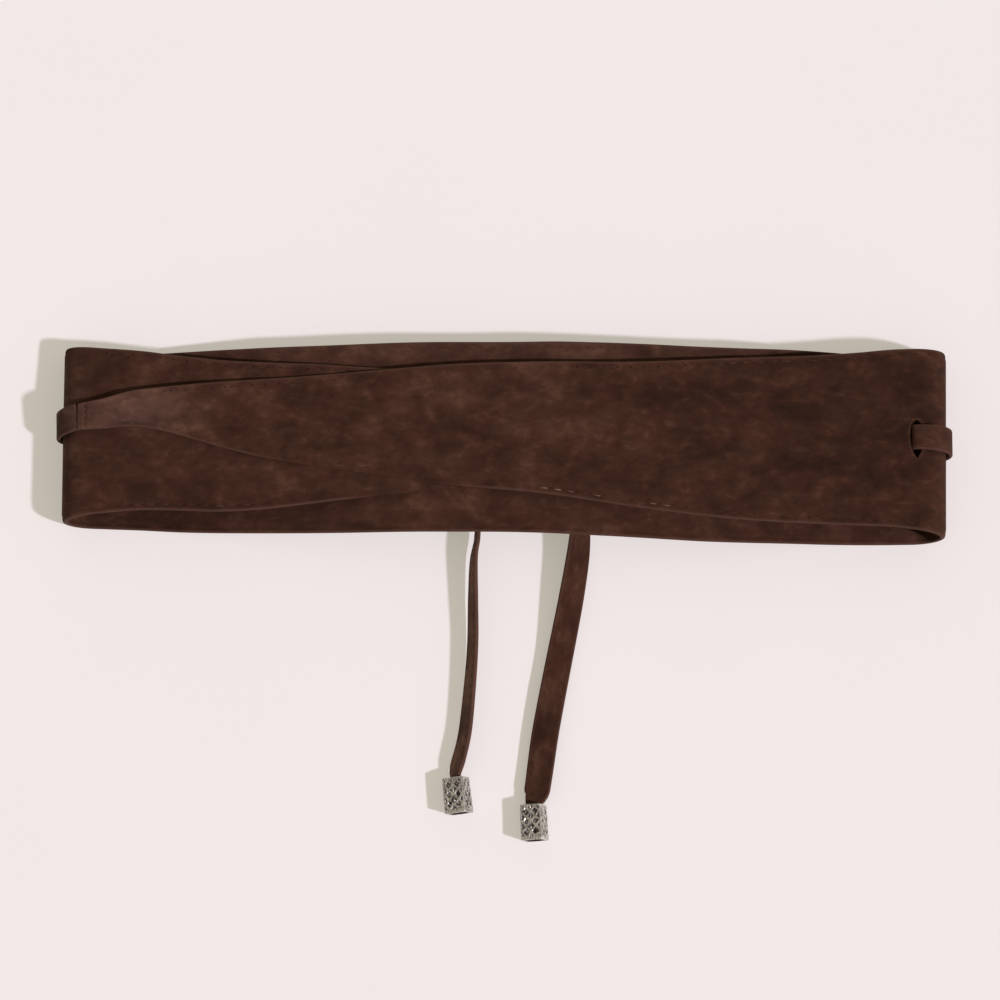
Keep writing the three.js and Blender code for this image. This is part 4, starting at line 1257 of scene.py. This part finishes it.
def bead_outline(side):
    """Square with round corners, as points, outward directions and places along each flat."""
    flat = side / 2 - BEAD["chamfer"]
    places, outward, flats = [], [], []
    for quarter in range(4):
        cos, sin = math.cos(quarter * math.pi / 2), math.sin(quarter * math.pi / 2)
        turn = np.array([[cos, -sin], [sin, cos]])
        for t in np.linspace(-1, 1, BEAD_POINTS["per_side"] + 1):
            places.append(turn @ np.array([side / 2, t * flat]))
            outward.append(turn @ np.array([1.0, 0.0]))
            flats.append(t)
        for corner in np.linspace(0, math.pi / 2, BEAD_POINTS["per_corner"] + 2)[1:-1]:
            direction = np.array([math.cos(corner), math.sin(corner)])
            places.append(turn @ (np.array([flat, flat]) + BEAD["chamfer"] * direction))
            outward.append(turn @ direction)
            flats.append(2.0)
    return np.array(places), np.array(outward), np.array(flats)


class BeadMesh:
    """One bead as rings of points: its side from mouth to end, that end, the bore and the mouth."""

    def __init__(self, seed):
        side = (BEAD["mouth"] + BEAD["end"]) / 2
        self.seed = seed
        self.places, self.outward, self.flats = bead_outline(side)
        self.flat_half = side / 2 - BEAD["chamfer"]
        self.widen = (BEAD["end"] - BEAD["mouth"]) / side
        around = np.arctan2(self.places[:, 1], self.places[:, 0])
        self.circle = np.stack([np.cos(around), np.sin(around)], 1)
        self.sides_seed = seed + np.floor((around + math.pi / 4) / (math.pi / 2) + 8) % 4
        self.rings, self.reliefs = [], []
        self.add_side()
        self.add_end_face(BEAD["length"], BEAD_RINGS["faces"])
        inset = BEAD_RINGS["bore_inset"]
        for z in np.linspace(BEAD["length"] - inset, inset, BEAD_RINGS["bore"]):
            self.add_ring(self.circle * BEAD["bore"], z, 0.0)
        self.add_end_face(0.0, BEAD_RINGS["faces"][::-1])

    def add_ring(self, ring, z, relief):
        self.rings.append(np.column_stack([ring, np.full(len(ring), z)]))
        self.reliefs.append(np.asarray(relief) * np.ones(len(ring)))

    def taper(self, z):
        return 1 + self.widen * (z / BEAD["length"] - 0.5)

    def relief_at(self, z):
        """Relief of the side at z: the ornament inside its field, and the beaded rim round it."""
        field_from, field_to = BEAD_RIM["mouth"], BEAD["length"] - BEAD_RIM["end"]
        from_middle, length = z - (field_from + field_to) / 2, field_to - field_from
        to_end = length / 2 - abs(from_middle)
        inside = np.clip((1 - np.abs(self.flats)) * self.flat_half / BEAD_RIM["fade"], 0, 1)
        inside = inside * np.clip(to_end / BEAD_RIM["fade"], 0, 1)
        across, level = self.flats * self.flat_half, np.full(len(self.flats), from_middle)
        height = bead_relief(across, level, 2 * self.flat_half, length, self.sides_seed)
        beading = 0.5 + 0.5 * np.cos(2 * math.pi * across / BEAD_RIM["pitch"])
        beading = BEAD_RIM_RELIEF["beading"] * beading * (np.abs(self.flats) <= 1) * (to_end < 0)
        return inside * height + (1 - inside) * (BEAD_RIM_RELIEF["between"] + beading)

    def add_side_ring(self, z, drawn_in=0.0):
        relief = self.relief_at(z)
        level = np.column_stack([self.places, np.full(len(self.places), z)])
        uneven = BEAD_RIM["uneven"] * soft_noise(level, scale=1.7, seed=3.3 + self.seed)
        sink = BEAD["relief"] * (relief - 1) + uneven
        ring = self.places + self.outward * (sink - drawn_in)[:, None]
        self.add_ring(ring * self.taper(z), z, relief)

    def add_side(self):
        round_over, length = BEAD_RIM["round"], BEAD["length"]
        rounding = [(round_over * (1 - math.cos(angle)), round_over * (1 - math.sin(angle)))
                    for angle in np.linspace(0, math.pi / 2, BEAD_RINGS["rounding"])]
        for z, drawn_in in rounding:
            self.add_side_ring(z, drawn_in)
        for z in np.linspace(round_over, length - round_over, BEAD_RINGS["side"])[1:-1]:
            self.add_side_ring(z)
        for z, drawn_in in rounding[::-1]:
            self.add_side_ring(length - z, drawn_in)

    def add_end_face(self, z, shares):
        """Rings on an end face, each a share of the way from the outline to the bore."""
        inset = BEAD_RIM["round"] + BEAD["relief"] * BEAD_FACE["inset"]
        outline = self.places - self.outward * inset
        for share in shares:
            ring = outline * self.taper(z) * (1 - share) + self.circle * BEAD["bore"] * share
            self.add_ring(ring, z, lerp(BEAD_FACE["outer_relief"], BEAD_FACE["inner_relief"], share))


def make_bead(name, node, place, material):
    mesh = BeadMesh(place["seed"])
    angle, about = math.radians(place["heading"]), math.radians(place["turn"])
    axis = np.array([math.sin(angle), -math.cos(angle), 0])
    level = np.array([math.cos(angle), math.sin(angle), 0])
    across = level * math.cos(about) + STRAIGHT_UP * math.sin(about)
    basis = np.stack([across, np.cross(axis, across), axis])
    placed = np.concatenate(mesh.rings) @ basis + np.array([*place["mouth"], 0])
    placed[:, 2] -= placed[:, 2].min()
    faces = tube_faces(len(mesh.rings), len(mesh.places), closed=True)
    piece = make_piece(name, placed, faces, material, {"relief": np.concatenate(mesh.reliefs)})
    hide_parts(node)


# Materials

class Nodes:
    """Short calls for building a tree of nodes."""

    def __init__(self, tree):
        self.tree = tree

    def node(self, kind, inputs=None, **settings):
        made = self.tree.nodes.new(kind)
        for key, value in settings.items():
            setattr(made, key, value)
        self.feed_all(made, inputs or {})
        return made

    def feed_all(self, node, inputs):
        """Gives inputs a value, or a link where the value is another node's output."""
        for key, value in inputs.items():
            if isinstance(value, bpy.types.NodeSocket):
                self.tree.links.new(value, node.inputs[key])
            else:
                node.inputs[key].default_value = value

    def attribute(self, name, output="Fac"):
        return self.node("ShaderNodeAttribute", attribute_name=name).outputs[output]

    def coordinates(self, output):
        return self.node("ShaderNodeTexCoord").outputs[output]

    def scaled(self, vector, scale, shift):
        inputs = {"Vector": vector, "Scale": scale, "Location": shift}
        return self.node("ShaderNodeMapping", inputs).outputs["Vector"]

    def noise(self, vector, scale, detail, roughness=0.55, distortion=0.0):
        inputs = {"Vector": vector, "Scale": scale, "Detail": detail, "Roughness": roughness,
                  "Distortion": distortion}
        return self.node("ShaderNodeTexNoise", inputs).outputs["Fac"]

    def remap(self, value, low, high, to_low=0.0, to_high=1.0):
        inputs = {"Value": value, "From Min": low, "From Max": high, "To Min": to_low, "To Max": to_high}
        return self.node("ShaderNodeMapRange", inputs, interpolation_type="SMOOTHSTEP").outputs["Result"]

    def ramp(self, value, name):
        return self.remap(value, *RAMPS[name])

    def math(self, operation, a, b):
        return self.node("ShaderNodeMath", {0: a, 1: b}, operation=operation).outputs["Value"]

    def mix(self, share, a, b):
        inputs = {"Factor": share, "A": a, "B": b}
        return self.node("ShaderNodeMix", inputs, data_type="RGBA").outputs["Result"]

    def between(self, tone, colours):
        """From the first colour in a noise's dark places to the second in its light ones."""
        return self.mix(self.ramp(tone, "two_colours"), *(colour(*c) for c in colours))

    def bump(self, height, distance, strength, normal=None):
        inputs = {"Height": height, "Distance": distance, "Strength": strength}
        if normal is not None:
            inputs["Normal"] = normal
        return self.node("ShaderNodeBump", inputs).outputs["Normal"]


class Shader(Nodes):
    """The nodes of one material."""

    def __init__(self, name):
        self.material = bpy.data.materials.new(name)
        self.material.use_nodes = True
        super().__init__(self.material.node_tree)

    def dress(self, inputs):
        """Feeds the surface's inputs, and gives the finished material."""
        self.feed_all(self.tree.nodes["Principled BSDF"], inputs)
        return self.material


def colour(red, green, blue):
    return (red, green, blue, 1.0)


def suede_tone(shader, broad, noises):
    """Brightness of the suede: broad changes, some of them painted light and shade, times those of each
    noise, and light strokes.
    """
    tone = shader.math("ADD", broad, 1.0)
    for name, layer in noises.items():
        change = shader.math("MULTIPLY", shader.math("SUBTRACT", layer, 0.5), SUEDE_NOISES[name][-1])
        tone = shader.math("MULTIPLY", tone, shader.math("ADD", change, 1.0))
    both = shader.math("MULTIPLY", noises["strokes"], noises["blotches"])
    return shader.math("ADD", tone, shader.ramp(both, "light_strokes"))


def suede_hue(shader, tint, tone, broad):
    """Hue of the suede: two browns in patches, greyer where the tone is raised, by rubbed nap and by
    broad tones that include painted light.
    """
    hues = {name: colour(*values) for name, values in SUEDE_HUES.items()}
    hue = shader.mix(shader.ramp(tint, "tint"), hues["brown"], hues["reddish"])
    hue = shader.mix(shader.ramp(tone, "rubbed"), hue, hues["rubbed"])
    return shader.mix(shader.ramp(broad, "greyed_tone_and_painted_light"), hue, hues["greyed_tone_and_painted_light"])


def suede_material():
    """Napped suede: patches of tone and hue, brushed strokes, and thin lighter cut edges with a painted
    highlight.
    """
    shader = Shader("suede")
    place = shader.attribute("leather", "Vector")
    broad = shader.attribute("tone")
    noises = {}
    for name, (scale, roughness, distortion, squeeze, shift, _) in SUEDE_NOISES.items():
        read_at = shader.scaled(place, squeeze, shift)
        noises[name] = shader.noise(read_at, scale, SUEDE_NOISE_DETAIL, roughness, distortion)
    tone = suede_tone(shader, broad, noises)
    hue = suede_hue(shader, noises["tint"], tone, broad)
    toned = shader.node("ShaderNodeVectorMath", {"Vector": hue, "Scale": tone}, operation="SCALE")
    # Thin lighter line at the edges: paler cut leather with a painted highlight
    cut_edge_and_highlight_share = shader.remap(shader.attribute("aside"), 0.0, CUT_EDGE_AND_HIGHLIGHT["width"], CUT_EDGE_AND_HIGHLIGHT["share"], 0.0)
    grain = shader.bump(noises["strokes"], distance=0.0006, strength=0.35)
    fibres = shader.bump(noises["nap"], distance=0.00012, strength=0.5, normal=grain)
    return shader.dress({
        "Base Color": shader.mix(cut_edge_and_highlight_share, toned.outputs["Vector"], colour(*SUEDE_HUES["cut_edge_and_highlight"])),
        "Roughness": 0.95,
        "Specular IOR Level": 0.12,
        "Sheen Weight": 0.06,
        "Sheen Roughness": 0.5,
        "Sheen Tint": colour(*SUEDE_HUES["sheen"]),
        "Normal": shader.bump(noises["blotches"], distance=0.0012, strength=0.3, normal=fibres),
    })


def thread_material():
    """Thread near the leather's colour: matted with nap where hidden, lighter where it shows; needle
    marks painted dark as shade.
    """
    shader = Shader("thread")
    coordinates = shader.coordinates("Object")
    shown = shader.attribute("shown")
    tone = shader.noise(coordinates, scale=700.0, detail=3.0)
    hidden, clear = shader.between(tone, HIDDEN_THREADS), shader.between(tone, CLEAR_THREADS)
    base = shader.mix(shader.ramp(shown, "clear_thread"), hidden, clear)
    # Needle marks get a dark colour: painted shade in their pits
    needle_mark_painted_shade = shader.remap(shown, NEEDLE_MARK["shows"], 0.0, 1.0, 0.0)
    twist = shader.noise(coordinates, scale=2200.0, detail=2.0)
    return shader.dress({
        "Base Color": shader.mix(needle_mark_painted_shade, base, colour(*NEEDLE_MARK_PAINTED_SHADE)),
        "Roughness": 0.85,
        "Specular IOR Level": 0.12,
        "Normal": shader.bump(twist, distance=0.0001, strength=0.5),
    })


def silver_material():
    """Antique silver: dark oxide in the recesses, bright where the relief is rubbed."""
    shader = Shader("antique_silver")
    coordinates = shader.coordinates("Object")
    oxide, shine, dull = (colour(*SILVER[name]) for name in ("oxide", "rubbed", "tarnish"))
    rubbed = shader.noise(coordinates, scale=800.0, detail=3.0, roughness=0.6)
    uneven = shader.math("ADD", shader.attribute("relief"), shader.ramp(rubbed, "silver_wear"))
    bright = shader.ramp(uneven, "bright")
    tarnish = shader.noise(coordinates, scale=300.0, detail=4.0, roughness=0.6)
    base = shader.mix(bright, oxide, shine)
    return shader.dress({
        "Base Color": shader.mix(shader.ramp(tarnish, "tarnish"), base, dull),
        "Metallic": 1.0,
        "Roughness": shader.ramp(bright, "silver_roughness"),
        "Normal": shader.bump(rubbed, distance=0.0002, strength=0.7),
    })


def floor_material():
    """Pale board. About half of its brightness is even, as under many broad lamps."""
    shader = Shader("pale_floor")
    coordinates = shader.coordinates("Object")
    tone = shader.noise(coordinates, scale=6.0, detail=2.0)
    return shader.dress({
        "Base Color": shader.between(tone, FLOOR_COLOURS),
        "Roughness": 0.95,
        "Specular IOR Level": 0.1,
        "Emission Color": colour(*FLOOR_GLOW),
        "Emission Strength": 1.0,
    })


# Floor, light and camera

def make_floor():
    size = FLOOR["half_size"]
    corners = [(-size, -size, 0), (size, -size, 0), (size, size, 0), (-size, size, 0)]
    mesh = bpy.data.meshes.new("floor")
    mesh.from_pydata(corners, [], [[0, 1, 2, 3]])
    mesh.materials.append(floor_material())
    floor = bpy.data.objects.new("floor", mesh)
    floor.location.z = -FLOOR["below"]
    bpy.context.scene.collection.objects.link(floor)


def make_sky():
    """A sky that is brightest overhead, like a broad soft lamp."""
    world = bpy.data.worlds.new("studio")
    world.use_nodes = True
    sky = Nodes(world.node_tree)
    parts = sky.node("ShaderNodeSeparateXYZ", {"Vector": sky.coordinates("Generated")})
    strength = sky.remap(parts.outputs["Z"], 0.0, SKY["full_from"], SKY["horizon"])
    inputs = {"Color": colour(*SKY["colour"]), "Strength": strength}
    sky.feed_all(sky.tree.nodes["Background"], inputs)
    bpy.context.scene.world = world


def aimed_object(name, data, towards):
    """An object in the scene that looks against a direction."""
    made = bpy.data.objects.new(name, data)
    made.rotation_mode = "QUATERNION"
    made.rotation_quaternion = Vector(towards).to_track_quat("Z", "Y")
    bpy.context.scene.collection.objects.link(made)
    return made


def make_key_light():
    """A key light from the lower right."""
    sun = bpy.data.lights.new("key", "SUN")
    sun.energy = KEY["energy"]
    sun.color = KEY["colour"]
    sun.angle = math.radians(KEY["angle"])
    aimed_object("key", sun, KEY["towards"])


def make_camera():
    data = bpy.data.cameras.new("camera")
    data.sensor_width = CAMERA["sensor"]
    data.lens = CAMERA["sensor"] * CAMERA["distance"] / (PIXEL * IMAGE_WIDTH)
    data.clip_start, data.clip_end = CAMERA["clip"]
    tilt = math.radians(CAMERA["elevation"])
    towards = np.array([0, -math.cos(tilt), math.sin(tilt)])
    camera = aimed_object("camera", data, towards)
    place = np.array(CAMERA["target"]) + towards * CAMERA["distance"]
    camera.location = (place + ORIGIN) / 1000
    bpy.context.scene.camera = camera


# Assembly

def main():
    bpy.context.scene.view_settings.view_transform = "Standard"
    suede = suede_material()
    silver = silver_material()
    band = BandPath()
    make_band(band, suede)
    stations = {"strap_outer": outer_strap_stations(), "strap_inner": inner_strap_stations()}
    straps = {node: make_strap("suede_" + node, node, made, suede) for node, made in stations.items()}
    make_stitches(band, straps, thread_material())
    for node, place in BEADS.items():
        make_bead("silver_" + node, node, place, silver)
    make_floor()
    make_sky()
    make_key_light()
    make_camera()


main()
